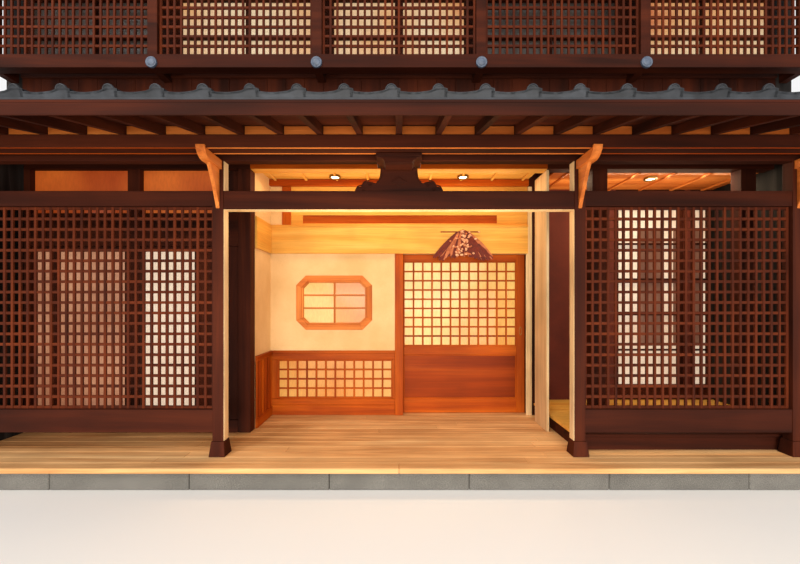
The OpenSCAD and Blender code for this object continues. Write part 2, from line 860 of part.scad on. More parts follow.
module entrance_door() {
    clear_low = [door_left + stile_w, door_foot + bottom_rail_h];
    clear_high = [door_right - stile_w, door_top - top_rail_h];
    mid_low = mid_rail_top - mid_rail_h;
    color(door_wood) {
        along_y(door_y, door_y + door_t) difference() {
            rect([door_left, door_foot], [door_right, door_top]);
            rect(clear_low, [clear_high[0], mid_low]);
            rect([clear_low[0], mid_rail_top], clear_high);
        }
        along_y(door_y + door_lattice_inset, door_y + door_lattice_inset + fine_bar_t)
            grid([clear_low[0] - weld_lap, mid_rail_top - weld_lap], clear_high + [weld_lap, weld_lap],
                 12, 9, fine_bar, fine_bar);
        along_y(door_y + door_panel_inset, door_y + door_panel_inset + door_panel_t)
            rect(clear_low - [weld_lap, weld_lap], [clear_high[0] + weld_lap, mid_low + weld_lap]);
    }
}

module door_glass() {
    front = door_y + door_lattice_inset + fine_bar_t;
    color(pane)
        block([door_left + stile_w, front, mid_rail_top],
              [door_right - stile_w, front + glass_t, door_top - top_rail_h]);
}

// Upper storey

module upper_floor() {
    color(deck_wood)
        block([-inner_x, wall_y, header_top], [inner_x, rear_y, upper_floor_z]);
}

// A wall's lower and upper slabs, with its top cut to the roof.
module upper_slabs(front, back) {
    block([-inner_x, front, upper_floor_z], [inner_x, back, upper_sill]);
    along_x(-inner_x, inner_x, [
        [front, upper_head], [back, upper_head], [back, roof_z(back)], [front, roof_z(front)]
    ]);
}

module upper_front_wall() {
    color(timber) upper_slabs(wall_y, wall_back_y);
}

module upper_posts() {
    color(timber) for (x = upper_post_x, y = [wall_y, rear_inner_y])
        block([x - upper_post_w / 2, y, upper_sill], [x + upper_post_w / 2, y + wall_t, upper_head]);
}

module upper_window_frames() {
    color(timber) for (s = wall_spans(), y = [wall_y + sash_back, rear_y - sash_back - sash_t])
        along_y(y, y + sash_t) sash([s[0], upper_sill], [s[1], upper_head], 2, 3);
}

module upper_window_glass() {
    front = wall_y + sash_back + sash_t;
    back = rear_y - sash_back - sash_t - glass_t;
    color(pane) for (s = wall_spans(), y = [front, back])
        block([s[0], y, upper_sill], [s[1], y + glass_t, upper_head]);
}

module upper_lattice_frame() {
    half = end_bays * bay + lattice_post_w / 2;
    color(timber) {
        block([-half, lattice_y, sill_beam_bottom],
              [half, lattice_y + sill_beam_t, upper_lattice_bottom]);
        block([-half, lattice_y, upper_lattice_top],
              [half, lattice_y + sill_beam_t, upper_lattice_top + top_beam_h]);
        for (x = frame_post_x)
            block([x - lattice_post_w / 2, lattice_y, upper_lattice_bottom - weld_lap],
                  [x + lattice_post_w / 2, lattice_y + sill_beam_t - lattice_post_back,
                   upper_lattice_top + weld_lap]);
    }
}

module lattice_arms() {
    color(timber) for (x = frame_post_x, z = [sill_beam_bottom, upper_lattice_top])
        block([x - arm_w / 2, lattice_y + sill_beam_t, z], [x + arm_w / 2, wall_y, z + lattice_arm_h]);
}

module beam_caps() {
    color(cap_grey) for (x = frame_post_x)
        translate([x, lattice_y, sill_beam_bottom + cap_lift]) rotate([90, 0, 0])
            cylinder(d = cap_d, h = cap_t, $fn = 48);
}

module upper_lattice(place) {
    x0 = bay_x[place] - (bay - lattice_post_w) / 2;
    x1 = bay_x[place] + (bay - lattice_post_w) / 2;
    front = lattice_y + (lattice_post_w - bar_t) / 2;
    color(timber) along_y(front, front + bar_t)
        grid([x0, upper_lattice_bottom], [x1, upper_lattice_top], upper_columns, upper_rows, bar_w, bar_h);
}

// Party walls, rear wall and roof

module party_walls() {
    color(plaster) for (x0 = [-outer_x, inner_x])
        along_x(x0, x0 + party_wall_t, [
            [post_w, -deck_t], [rear_y, -deck_t], [rear_y, roof_z(rear_y) + rafter_h],
            [ridge_y, ridge_underside + rafter_h], [wall_y, roof_z(wall_y) + rafter_h],
            [wall_y, eave_z(wall_y) + rafter_h], [post_w, eave_z(post_w) + rafter_h]
        ]);
}

module rear_wall() {
    color(timber) {
        block([-inner_x, rear_inner_y, 0], [inner_x, rear_y, rear_sill]);
        block([-inner_x, rear_inner_y, band_bottom], [inner_x, rear_y, header_top]);
        upper_slabs(rear_inner_y, rear_y);
    }
}

module rafters(y0, y1) {
    for (i = [-rafter_span : rafter_span])
        roof_layer(i * rafter_pitch - rafter_w / 2, i * rafter_pitch + rafter_w / 2, y0, y1, 0, rafter_h);
}

module front_rafters() {
    color(timber) rafters(roof_front_y + tile_lap + fascia_t, ridge_y);
}

module rear_rafters() {
    color(timber) rafters(ridge_y, roof_rear_y - tile_lap - fascia_t);
}

module roof_purlins() {
    half = roof_purlin_w / 2;
    quarter = (ridge_y - wall_y) / 2;
    color(timber) {
        along_x(-inner_x, inner_x, [
            [ridge_y - half, ridge_underside - roof_purlin_h],
            [ridge_y + half, ridge_underside - roof_purlin_h],
            [ridge_y + half, roof_z(ridge_y + half)], [ridge_y, ridge_underside],
            [ridge_y - half, roof_z(ridge_y - half)]
        ]);
        for (y = [ridge_y - quarter, ridge_y + quarter])
            along_x(-inner_x, inner_x, [
                [y - half, roof_z(y) - roof_purlin_h], [y + half, roof_z(y) - roof_purlin_h],
                [y + half, roof_z(y + half)], [y - half, roof_z(y - half)]
            ]);
    }
}

module roof_boards() {
    color(pale_wood) {
        eave_layer(-roof_x, roof_x, tile_lap - eave_reach, wall_y, rafter_h, roof_board_t);
        roof_layer(-roof_x, roof_x, roof_front_y + tile_lap, ridge_y - ridge_slit / 2,
                   rafter_h, roof_board_t);
        roof_layer(-roof_x, roof_x, ridge_y + ridge_slit / 2, roof_rear_y - tile_lap,
                   rafter_h, roof_board_t);
    }
}

module roof_tiles() {
    color(tile_grey) {
        eave_layer(-roof_x, roof_x, -eave_reach, wall_y, roof_layers, tile_t);
        roof_layer(-roof_x, roof_x, roof_front_y, ridge_y - ridge_slit / 2, roof_layers, tile_t);
        roof_layer(-roof_x, roof_x, ridge_y + ridge_slit / 2, roof_rear_y, roof_layers, tile_t);
    }
}

module roof_ridge() {
    half = ridge_w / 2;
    top = ridge_underside + roof_layers + tile_t;
    color(tile_grey) along_x(-roof_x, roof_x, [
        [ridge_y - half, roof_z(ridge_y - half) + roof_layers + tile_t],
        [ridge_y - ridge_slit / 2, roof_z(ridge_y - ridge_slit / 2) + roof_layers + tile_t],
        [ridge_y + ridge_slit / 2, roof_z(ridge_y + ridge_slit / 2) + roof_layers + tile_t],
        [ridge_y + half, roof_z(ridge_y + half) + roof_layers + tile_t],
        [ridge_y + 0.8 * half, top + 0.7 * ridge_h],
        for (a = [0 : 20 : 180])
            [ridge_y + 0.45 * half * cos(a), top + 0.7 * ridge_h + 0.3 * ridge_h * sin(a)],
        [ridge_y - 0.8 * half, top + 0.7 * ridge_h]
    ]);
}

module eave_fascias() {
    front = roof_front_y + tile_lap;
    rear = roof_rear_y - tile_lap;
    color(timber) {
        eave_layer(-roof_x, roof_x, tile_lap - eave_reach, tile_lap + fascia_t - eave_reach,
                   -fascia_drop, rafter_h + fascia_drop);
        roof_layer(-roof_x, roof_x, front, front + fascia_t, -fascia_drop, rafter_h + fascia_drop);
        roof_layer(-roof_x, roof_x, rear - fascia_t, rear, -fascia_drop, rafter_h + fascia_drop);
    }
}

placed() plinth();
placed() ground_floor();
placed() porch_deck();
placed() side_platform();
placed() post_bases();
placed() front_posts();
placed() front_rails();
placed() eave_purlins();
placed() eave_brackets();
placed() carved_strut();
placed() street_panel("left_outer");  // lattice_left_outer
placed() street_panel("left_inner");  // lattice_left_inner
placed() street_panel("right_inner");  // lattice_right_inner
placed() street_panel("right_outer");  // lattice_right_outer
placed() main_posts();
placed() ground_wall_beams();
placed() right_back_wall();
placed() ground_window_frames();
placed() wing_board();
placed() recess_left_wall();
placed() window_wall();
placed() octagon_frame();
placed() low_window_frame();
placed() low_lattice();
placed() centre_post();
placed() entrance_upper_wall();
placed() fascia_boards();
placed() recess_ceiling();
placed() door_tracks();
placed() entrance_door();
placed() door_glass();
placed() ground_window_glass();
placed() eave_rafters();
placed() upper_floor();
placed() upper_front_wall();
placed() upper_posts();
placed() upper_window_frames();
placed() upper_window_glass();
placed() upper_lattice_frame();
placed() lattice_arms();
placed() beam_caps();
placed() upper_lattice(0);  // upper_lattice_1
placed() upper_lattice(1);  // upper_lattice_2
placed() upper_lattice(2);  // upper_lattice_3
placed() upper_lattice(3);  // upper_lattice_4
placed() upper_lattice(4);  // upper_lattice_5
placed() party_walls();
placed() rear_wall();
placed() front_rafters();
placed() rear_rafters();
placed() roof_purlins();
placed() roof_boards();
placed() roof_tiles();
placed() roof_ridge();
placed() eave_fascias();
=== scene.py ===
"""Dresses a two-storey timber townhouse: boards, lattices, roof tiles, plaster and fittings.

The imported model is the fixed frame. Each sub-assembly is a class that holds its sizes, takes its
places from the frame's nodes, builds its meshes and gives them their finishes. Sizes are metres.
The names from SHARP to BLUNT are the widths of chamfers. SLIT and HAIR also keep faces apart.
"""
import json
import logging
import math
import random
from dataclasses import dataclass, field
from enum import Enum
from typing import Sequence

import bmesh
import bpy
from mathutils import Matrix, Vector

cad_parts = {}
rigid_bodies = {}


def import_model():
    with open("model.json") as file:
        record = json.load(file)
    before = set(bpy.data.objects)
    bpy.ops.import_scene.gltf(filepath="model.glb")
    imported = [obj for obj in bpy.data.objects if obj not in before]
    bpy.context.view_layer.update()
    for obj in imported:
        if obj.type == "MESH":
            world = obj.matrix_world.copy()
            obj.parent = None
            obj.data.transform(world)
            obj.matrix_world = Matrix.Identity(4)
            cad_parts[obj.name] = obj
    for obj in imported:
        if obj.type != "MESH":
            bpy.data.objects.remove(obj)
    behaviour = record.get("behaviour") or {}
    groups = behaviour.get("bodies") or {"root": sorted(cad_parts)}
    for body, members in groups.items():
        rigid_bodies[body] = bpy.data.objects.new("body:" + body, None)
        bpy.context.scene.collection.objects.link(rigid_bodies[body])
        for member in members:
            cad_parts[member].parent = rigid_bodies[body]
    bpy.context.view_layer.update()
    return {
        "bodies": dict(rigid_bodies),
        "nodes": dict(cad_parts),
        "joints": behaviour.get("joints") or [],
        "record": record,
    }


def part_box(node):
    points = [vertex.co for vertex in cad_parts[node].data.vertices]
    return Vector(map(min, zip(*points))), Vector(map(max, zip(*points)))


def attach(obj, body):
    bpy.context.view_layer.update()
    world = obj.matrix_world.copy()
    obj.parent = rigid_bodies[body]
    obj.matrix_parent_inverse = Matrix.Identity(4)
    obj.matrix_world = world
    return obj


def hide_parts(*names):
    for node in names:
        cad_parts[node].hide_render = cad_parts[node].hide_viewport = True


LOG = logging.getLogger("townhouse")

Colour = tuple[float, float, float]
Point = tuple[float, float, float]
Flat = tuple[float, float]
Corner = Sequence[float]
Mesh = bmesh.types.BMesh
Material = bpy.types.Material
Socket = bpy.types.NodeSocket
Band = tuple[float, float, int]
SHARP, SLIT, HAIR, FINE, CRISP, EASED = 0.0, 0.0005, 0.001, 0.0015, 0.002, 0.0025
SOFT, ROUND, NOSED, BLUNT = 0.003, 0.004, 0.005, 0.006
WHITE = (1.0, 1.0, 1.0)
PAPER = (0.74, 0.74, 0.74)


class Axis(Enum):
    """A direction of the house's frame."""

    X = 0
    Y = 1
    Z = 2


X, Y, Z = Axis


class Body(Enum):
    """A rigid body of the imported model."""

    HOUSE = "house"
    DOOR = "door"


class Slot(Enum):
    """A material slot of the record."""

    STONE = "stone"
    DECK = "deck_wood"
    DARK = "dark_timber"
    LATTICE = "lattice_timber"
    DOOR = "door_wood"
    PALE = "pale_wood"
    CLADDING = "party_cladding"
    GLASS = "lit_glass"
    TILE = "roof_tile"
    CAP = "cap_metal"


def linear(colour: Colour) -> tuple[float, float, float, float]:
    """Turns a display colour into a scene-linear one with full alpha.

    Args:
        colour: Red, green and blue from 0 to 1 as a screen shows them.

    Returns:
        The same colour in linear light, with alpha 1.
    """
    parts = [c / 12.92 if c <= 0.04045 else ((c + 0.055) / 1.055) ** 2.4 for c in colour]
    return parts[0], parts[1], parts[2], 1.0


class Bench:
    """A material's node tree with short ways to add and join nodes."""

    def __init__(self, name: str) -> None:
        """Starts a material with a bare Principled shader.

        Args:
            name: The material's name.
        """
        self.material = bpy.data.materials.new(name)
        self.material.use_nodes = True
        self.tree = self.material.node_tree
        self.shader = next(n for n in self.tree.nodes if n.type == "BSDF_PRINCIPLED")
        self.coords = self.tree.nodes.new("ShaderNodeTexCoord").outputs["Object"]

    def fill(self, node: bpy.types.Node, inputs: dict[str, Socket | Colour | float]) -> None:
        """Links or writes a node's inputs.

        Args:
            node: The node.
            inputs: A socket, a display colour, a vector or a number for each input's name.
        """
        for name, value in inputs.items():
            target = node.inputs[name]
            if isinstance(value, Socket):
                self.tree.links.new(value, target)
            else:
                target.default_value = linear(value) if target.type == "RGBA" else value

    def node(self, kind: str, inputs: dict[str, Socket | Colour | float],
             **settings: object) -> bpy.types.Node:
        """Adds a node.

        Args:
            kind: The node type without its ShaderNode prefix.
            inputs: What goes into its inputs, by name.
            **settings: The node's own attributes.

        Returns:
            The new node.
        """
        made = self.tree.nodes.new("ShaderNode" + kind)
        for name, value in settings.items():
            setattr(made, name, value)
        self.fill(made, inputs)
        return made

    def mapped(self, scale: Point) -> Socket:
        """Object coordinates with a scale on each axis."""
        return self.node("Mapping", {"Vector": self.coords, "Scale": scale}).outputs["Vector"]

    def noise(self, scale: float, detail: float = 4.0, rough: float = 0.55, twist: float = 0.0,
              vector: Socket | None = None) -> Socket:
        """A noise texture's factor.

        Args:
            scale: Its scale.
            detail: Its octaves.
            rough: How strong the finer octaves are.
            twist: Its distortion.
            vector: The coordinates that it reads, if not the plain ones.

        Returns:
            The factor socket.
        """
        return self.node("TexNoise", {"Vector": vector or self.coords, "Scale": scale,
                                      "Detail": detail,
                                      "Roughness": rough, "Distortion": twist}).outputs[0]

    def ramp(self, factor: Socket, *stops: tuple[float, Colour], steps: str = "LINEAR") -> Socket:
        """A colour ramp.

        Args:
            factor: The socket that drives it.
            *stops: Places from 0 to 1 with their display colours.
            steps: How it goes from stop to stop.

        Returns:
            The colour socket.
        """
        made = self.node("ValToRGB", {"Fac": factor})
        made.color_ramp.interpolation = steps
        bar = made.color_ramp.elements
        while len(bar) < len(stops):
            bar.new(0.5)
        for element, (place, colour) in zip(bar, stops):
            element.position, element.color = place, linear(colour)
        return made.outputs["Color"]

    def blend(self, under: Socket, over: Socket | Colour, factor: Socket | float,
              mode: str = "MULTIPLY") -> Socket:
        """Mixes two colours.

        Args:
            under: The colour under.
            over: The colour over, a socket or a display colour.
            factor: How much of it shows.
            mode: The blend type.

        Returns:
            The mixed colour socket.
        """
        return self.node("Mix", {"A": under, "B": over, "Factor": factor}, data_type="RGBA",
                         blend_type=mode).outputs["Result"]

    def shaded(self, colour: Socket, factor: Socket, low: float, high: float, dark: Colour,
               share: float) -> Socket:
        """Darkens a colour where a factor is low.

        Args:
            colour: The colour to darken.
            factor: The socket that drives it.
            low: The factor up to which it is darkest.
            high: The factor from which it is unchanged.
            dark: What the darkest places are multiplied by.
            share: How much of the darkening shows.

        Returns:
            The darkened colour socket.
        """
        return self.blend(colour, self.ramp(factor, (low, dark), (high, WHITE)), share)

    def scaled(self, value: Socket, low: float, high: float) -> Socket:
        """Maps a value from 0 to 1 to the range from low to high."""
        inputs = {"Value": value, "To Min": low, "To Max": high}
        return self.node("MapRange", inputs).outputs["Result"]

    def tone(self, colour: Socket, spread: float) -> Socket:
        """Lightens or darkens each loose piece of the mesh by up to a share of its colour."""
        island = self.node("NewGeometry", {}).outputs["Random Per Island"]
        return self.node("HueSaturation", {"Value": self.scaled(island, 1.0 - spread, 1.0 + spread),
                                           "Color": colour}).outputs["Color"]

    def glow(self, colour: Socket, strength: float) -> Socket:
        """Makes the surface shine like paper in front of a lamp.

        Args:
            colour: The colour of the light.
            strength: Its strength.

        Returns:
            The paper's own colour.
        """
        self.fill(self.shader, {"Emission Strength": strength, "Coat Weight": 0.35})
        self.tree.links.new(colour, self.shader.inputs["Emission Color"])
        return self.blend(colour, PAPER, 1.0)

    def dress(self, colour: Socket | Colour, rough: Socket | float, height: Socket | None = None,
              strength: float = 0.2, distance: float = 0.002) -> Material:
        """Joins colour, roughness and bump to the shader.

        Args:
            colour: The base colour.
            rough: The roughness.
            height: The bump height.
            strength: The bump strength.
            distance: The bump distance.

        Returns:
            The finished material.
        """
        self.fill(self.shader, {"Base Color": colour, "Roughness": rough})
        if height is not None:
            bump = self.node("Bump", {"Strength": strength, "Distance": distance, "Height": height})
            self.fill(self.shader, {"Normal": bump.outputs["Normal"]})
        return self.material


@dataclass(frozen=True)
class Timber:
    """Planed or stained wood with its grain along one axis."""

    name: str
    deep: Colour
    mid: Colour
    light: Colour
    rough: float = 0.55
    figure: float = 9.0
    spread: float = 0.10
    bump: float = 0.25
    streak: float = 0.42

    def along(self, axis: Axis) -> Material:
        """Makes the wood with its grain along an axis, or returns the one already made.

        Args:
            axis: The direction of the grain.

        Returns:
            The material.
        """
        name = f"{self.name}_{axis.name.lower()}"
        if name in bpy.data.materials:
            return bpy.data.materials[name]
        bench = Bench(name)
        broad_grain, fine_grain = (
            bench.mapped(tuple(share if i == axis.value else 1.0 for i in range(3)))
            for share in (0.06, 0.025))
        broad = bench.noise(self.figure, 3.0, 0.5, 0.9, broad_grain)
        fibre = bench.noise(self.figure * 16, 4.0, 0.7, 0.2, fine_grain)
        wear = bench.noise(1.7, 2.0)
        colour = bench.ramp(broad, (0.30, self.deep), (0.50, self.mid), (0.72, self.light))
        colour = bench.shaded(colour, fibre, 0.34, 0.62, (0.55, 0.55, 0.55), self.streak)
        colour = bench.shaded(colour, wear, 0.35, 0.65, (0.86, 0.86, 0.86), 0.7)
        bench.fill(bench.shader, {"Specular IOR Level": 0.10})
        rough = bench.scaled(fibre, self.rough - 0.10, self.rough + 0.14)
        return bench.dress(bench.tone(colour, self.spread), rough, fibre, self.bump, 0.0012)


@dataclass(frozen=True)
class Plaster:
    """Sand-finished wall plaster."""

    name: str
    light: Colour
    dark: Colour
    grit: float = 340.0

    def make(self) -> Material:
        """Makes the material.

        Returns:
            The material.
        """
        bench = Bench(self.name)
        cloud, sand = bench.noise(2.3, 4.0, 0.6), bench.noise(self.grit, 3.0, 0.7)
        trowel = bench.noise(14.0, 3.0, vector=bench.mapped((1.0, 1.0, 3.0)))
        colour = bench.ramp(cloud, (0.30, self.dark), (0.68, self.light))
        colour = bench.shaded(colour, sand, 0.32, 0.52, (0.80, 0.78, 0.74), 0.45)
        return bench.dress(colour, 0.9, bench.blend(sand, trowel, 0.5, "MIX"), 0.35, 0.0015)


@dataclass(frozen=True)
class SmokedTile:
    """Smoked clay tile with a dull silver bloom."""

    name: str
    dark: Colour
    light: Colour

    def make(self) -> Material:
        """Makes the material.

        Returns:
            The material.
        """
        bench = Bench(self.name)
        cloud, grain = bench.noise(11.0, 5.0, 0.6), bench.noise(260.0, 2.0)
        colour = bench.tone(bench.ramp(cloud, (0.28, self.dark), (0.72, self.light)), 0.22)
        bench.fill(bench.shader, {"Specular IOR Level": 0.3})
        return bench.dress(colour, bench.scaled(cloud, 0.42, 0.70), grain, 0.2, 0.0008)


@dataclass(frozen=True)
class Granite:
    """Sawn granite with fine specks."""

    name: str
    dark: Colour
    mid: Colour
    light: Colour

    def make(self) -> Material:
        """Makes the material.

        Returns:
            The material.
        """
        bench = Bench(self.name)
        speck, cloud = bench.noise(190.0, 3.0, 0.8), bench.noise(3.1, 4.0)
        colour = bench.ramp(speck, (0.34, self.dark), (0.50, self.mid), (0.66, self.light))
        colour = bench.shaded(colour, cloud, 0.3, 0.7, (0.78, 0.78, 0.78), 0.8)
        return bench.dress(bench.tone(colour, 0.12), 0.8, speck, 0.35, 0.0015)


@dataclass(frozen=True)
class LampLitPane:
    """Glass backed with paper, lit from the room behind."""

    name: str
    warm: Colour
    pale: Colour
    strength: float
    figure: float = 1.6

    def make(self) -> Material:
        """Makes the material.

        Returns:
            The material.
        """
        bench = Bench(self.name)
        pool = bench.noise(self.figure, 3.0, 0.5)
        fibre = bench.noise(60.0, 4.0, vector=bench.mapped((1.0, 1.0, 0.3)))
        colour = bench.ramp(pool, (0.34, self.warm), (0.62, self.pale))
        colour = bench.shaded(colour, fibre, 0.35, 0.6, (0.90, 0.88, 0.84), 0.5)
        bench.fill(bench.shader, {"Coat Roughness": 0.08})
        return bench.dress(bench.glow(colour, self.strength), 0.5, fibre, 0.1, 0.0006)


@dataclass(frozen=True)
class UpperPane:
    """Panes of the upper storey: three rooms lit and two dark."""

    name: str
    bay: float = 1.4775

    def make(self) -> Material:
        """Makes the material.

        Returns:
            The material.
        """
        bench = Bench(self.name)
        split = bench.node("SeparateXYZ", {"Vector": bench.coords})
        across = bench.node("MapRange", {"Value": split.outputs["X"], "From Min": -2.5 * self.bay,
                                         "From Max": 2.5 * self.bay}).outputs["Result"]
        dark_room = (0.0, 0.0, 0.0)
        bays = bench.ramp(across, (0.0, dark_room), (0.2, WHITE), (0.6, dark_room), (0.8, WHITE),
                          steps="CONSTANT")
        pool = bench.noise(1.3, 3.0)
        lit = bench.ramp(pool, (0.30, (0.84, 0.47, 0.27)), (0.44, (0.95, 0.72, 0.48)),
                         (0.64, (0.98, 0.88, 0.72)))
        dark = bench.ramp(pool, (0.35, (0.16, 0.13, 0.11)), (0.62, (0.24, 0.20, 0.17)))
        return bench.dress(bench.glow(bench.blend(dark, lit, bays, "MIX"), 0.5), 0.35)


@dataclass(frozen=True)
class PaintedMetal:
    """A painted, patinated or dried surface with a fine cloud of tones."""

    name: str
    dark: Colour
    light: Colour
    rough: float = 0.45
    metal: float = 0.0

    def make(self) -> Material:
        """Makes the material.

        Returns:
            The material.
        """
        bench = Bench(self.name)
        cloud, fine = bench.noise(24.0, 5.0, 0.65), bench.noise(320.0, 2.0)
        bench.fill(bench.shader, {"Metallic": self.metal})
        colour = bench.ramp(cloud, (0.3, self.dark), (0.7, self.light))
        rough = bench.scaled(cloud, self.rough - 0.1, self.rough + 0.15)
        return bench.dress(colour, rough, fine, 0.15, 0.0005)


@dataclass
class Palette:
    """Every finish of the house, in display colours."""

    # painted shade: the house's brown timber made darker, for faces that no lamp reaches
    dark: Timber = Timber("dark_stained_timber", (0.16, 0.056, 0.022), (0.245, 0.092, 0.038),
                          (0.32, 0.132, 0.058), 0.66, 6.0, 0.10, 0.25, 0.28)
    # painted light: a lighter copy of the same timber, for faces lit by the recess lamps
    lit: Timber = Timber("warm_brown_timber", (0.66, 0.32, 0.12), (0.82, 0.45, 0.19),
                         (0.92, 0.56, 0.27), 0.55, 6.0, 0.10, 0.25, 0.25)
    lattice: Timber = Timber("lattice_timber", (0.22, 0.078, 0.026), (0.32, 0.122, 0.042),
                             (0.41, 0.17, 0.062), 0.64, 14.0, 0.08, 0.25, 0.25)
    door: Timber = Timber("oiled_door_timber", (0.57, 0.21, 0.018), (0.68, 0.285, 0.030),
                          (0.78, 0.37, 0.055), 0.5, 7.0, 0.05, 0.18, 0.3)
    panel: Timber = Timber("figured_panel", (0.49, 0.17, 0.014), (0.59, 0.225, 0.022),
                           (0.67, 0.285, 0.038), 0.48, 4.5, 0.04, 0.12, 0.25)
    pale: Timber = Timber("pale_planed_timber", (0.86, 0.57, 0.22), (0.92, 0.67, 0.30),
                          (0.95, 0.74, 0.39), 0.5, 6.0, 0.04, 0.15, 0.25)
    white: Timber = Timber("white_planed_timber", (0.88, 0.71, 0.50), (0.94, 0.79, 0.58),
                           (0.97, 0.85, 0.66), 0.55, 6.0, 0.03, 0.12)
    deck: Timber = Timber("pale_deck_timber", (0.76, 0.53, 0.32), (0.88, 0.66, 0.43),
                          (0.94, 0.75, 0.52), 0.6, 8.0, 0.09, 0.25, 0.28)
    cladding: Timber = Timber("charred_board", (0.08, 0.07, 0.07), (0.14, 0.125, 0.12),
                              (0.23, 0.21, 0.20), 0.75, 12.0, 0.14, 0.5)
    made: dict[str, Material] = field(default_factory=dict)

    def __post_init__(self) -> None:
        """Makes the finishes that have no grain direction."""
        for finish in (
            Plaster("cream_plaster", (0.90, 0.75, 0.53), (0.84, 0.67, 0.44)),
            Plaster("red_plaster", (0.42, 0.15, 0.07), (0.32, 0.10, 0.045)),
            SmokedTile("smoked_tile", (0.10, 0.11, 0.13), (0.20, 0.215, 0.24)),
            Granite("footing_granite", (0.24, 0.235, 0.23), (0.42, 0.41, 0.39), (0.58, 0.57, 0.54)),
            LampLitPane("lit_pane", (0.89, 0.55, 0.17), (0.94, 0.70, 0.34), 0.44),
            LampLitPane("amber_pane", (0.86, 0.47, 0.03), (0.92, 0.60, 0.10), 0.44, 1.2),
            LampLitPane("door_pane", (0.91, 0.62, 0.20), (0.96, 0.80, 0.42), 0.5, 1.4),
            LampLitPane("dim_pane", (0.50, 0.33, 0.26), (0.62, 0.43, 0.34), 0.30),
            LampLitPane("bright_pane", (0.93, 0.80, 0.68), (0.98, 0.89, 0.79), 0.62, 1.3),
            LampLitPane("rose_pane", (0.72, 0.47, 0.34), (0.84, 0.60, 0.46), 0.5, 1.3),
            LampLitPane("orange_pane", (0.66, 0.24, 0.06), (0.86, 0.42, 0.14), 0.5, 1.1),
            LampLitPane("lamp_lens", (1.0, 0.93, 0.76), (1.0, 0.97, 0.86), 9.0),
            UpperPane("upper_pane"),
            PaintedMetal("cap_paint", (0.22, 0.26, 0.33), (0.34, 0.39, 0.47)),
            PaintedMetal("aged_brass", (0.38, 0.29, 0.15), (0.62, 0.50, 0.28), 0.4, 1.0),
            PaintedMetal("dry_leaf", (0.56, 0.26, 0.13), (0.80, 0.48, 0.30), 0.8),
            PaintedMetal("dark_leaf", (0.30, 0.065, 0.022), (0.46, 0.14, 0.055), 0.8),
            PaintedMetal("straw_cord", (0.80, 0.52, 0.36), (0.94, 0.74, 0.58), 0.85),
        ):
            self.made[finish.name] = finish.make()

    def __getitem__(self, name: str) -> Material:
        """The finish of that name."""
        return self.made[name]


def take_edges(piece: Mesh, width: float, segments: int = 1, angle: float = 0.5) -> None:
    """Bevels every sharp edge.

    Args:
        piece: The mesh.
        width: The bevel's width.
        segments: Its segments.
        angle: Edges that fold by more than this many radians are sharp.
    """
    sharp = [e for e in piece.edges if len(e.link_faces) == 2 and e.calc_face_angle(0.0) > angle]
    bmesh.ops.bevel(piece, geom=sharp, offset=width, offset_type="OFFSET", segments=segments,
                    profile=0.5, affect="EDGES", material=-1, clamp_overlap=True)


def cuboid(low: Corner, high: Corner, edge: float = CRISP) -> Mesh:
    """A box with its edges taken off.

    Args:
        low: Its lowest corner.
        high: Its highest corner.
        edge: The width of the chamfer, or 0 for none.

    Returns:
        The mesh.
    """
    piece = bmesh.new()
    size = Vector(high) - Vector(low)
    bmesh.ops.create_cube(piece, size=1.0)
    bmesh.ops.scale(piece, vec=size, verts=piece.verts)
    bmesh.ops.translate(piece, vec=Vector(low) + size / 2, verts=piece.verts)
    if edge > 0:
        take_edges(piece, min(edge, 0.3 * min(size)))
    return piece


def prism(outline: Sequence[Flat], axis: Axis, start: float, end: float,
          edge: float = SHARP) -> Mesh:
    """An outline drawn across an axis and run along it.

    Args:
        outline: Points on the other two axes, in X, Y, Z order.
        axis: The axis that the outline runs along.
        start: Where it starts.
        end: Where it ends.
        edge: The width of the chamfer, or 0 for none.

    Returns:
        The mesh.
    """
    piece = bmesh.new()
    n = axis.value
    face = piece.faces.new([piece.verts.new((*point[:n], start, *point[n:])) for point in outline])
    grown = bmesh.ops.extrude_face_region(piece, geom=[face])["geom"]
    shift = Vector((0.0, 0.0, 0.0))
    shift[n] = end - start
    far_end = [part for part in grown if isinstance(part, bmesh.types.BMVert)]
    bmesh.ops.translate(piece, vec=shift, verts=far_end)
    bmesh.ops.recalc_face_normals(piece, faces=piece.faces)
    if edge > 0:
        take_edges(piece, edge)
    return piece


def turned(profile: Sequence[Flat], steps: int = 24) -> Mesh:
    """A profile spun round the Z axis.

    Args:
        profile: Radius and height pairs.
        steps: How many steps make the turn.

    Returns:
        The mesh, centred on the Z axis.
    """
    piece = bmesh.new()
    line = [piece.verts.new((radius, 0.0, height)) for radius, height in profile]
    edges = [piece.edges.new(pair) for pair in zip(line, line[1:])]
    bmesh.ops.spin(piece, geom=line + edges, cent=(0, 0, 0), axis=(0, 0, 1), angle=math.tau,
                   steps=steps, use_merge=True)
    bmesh.ops.remove_doubles(piece, verts=piece.verts, dist=1e-6)
    bmesh.ops.recalc_face_normals(piece, faces=piece.faces)
    return piece


def arc(start: int, end: int, step: int) -> list[Flat]:
    """The cosine and sine of whole degrees from a start through an end, a step apart."""
    return [(math.cos(math.radians(a)), math.sin(math.radians(a)))
            for a in range(start, end + 1, step)]


def divided(start: float, end: float, count: int) -> list[Flat]:
    """The start and end of each of a number of equal parts of a length."""
    pitch = (end - start) / count
    return [(start + i * pitch, start + (i + 1) * pitch) for i in range(count)]


def at(x: float, y: float, z: float, turn: float = 0.0, axis: Axis = X) -> Matrix:
    """A place, with a turn in radians about an axis of the piece."""
    return Matrix.Translation((x, y, z)) @ Matrix.Rotation(turn, 4, axis.name)


def span(node: str) -> tuple[Vector, Vector]:
    """The lowest and highest corner of a CAD node."""
    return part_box(node)


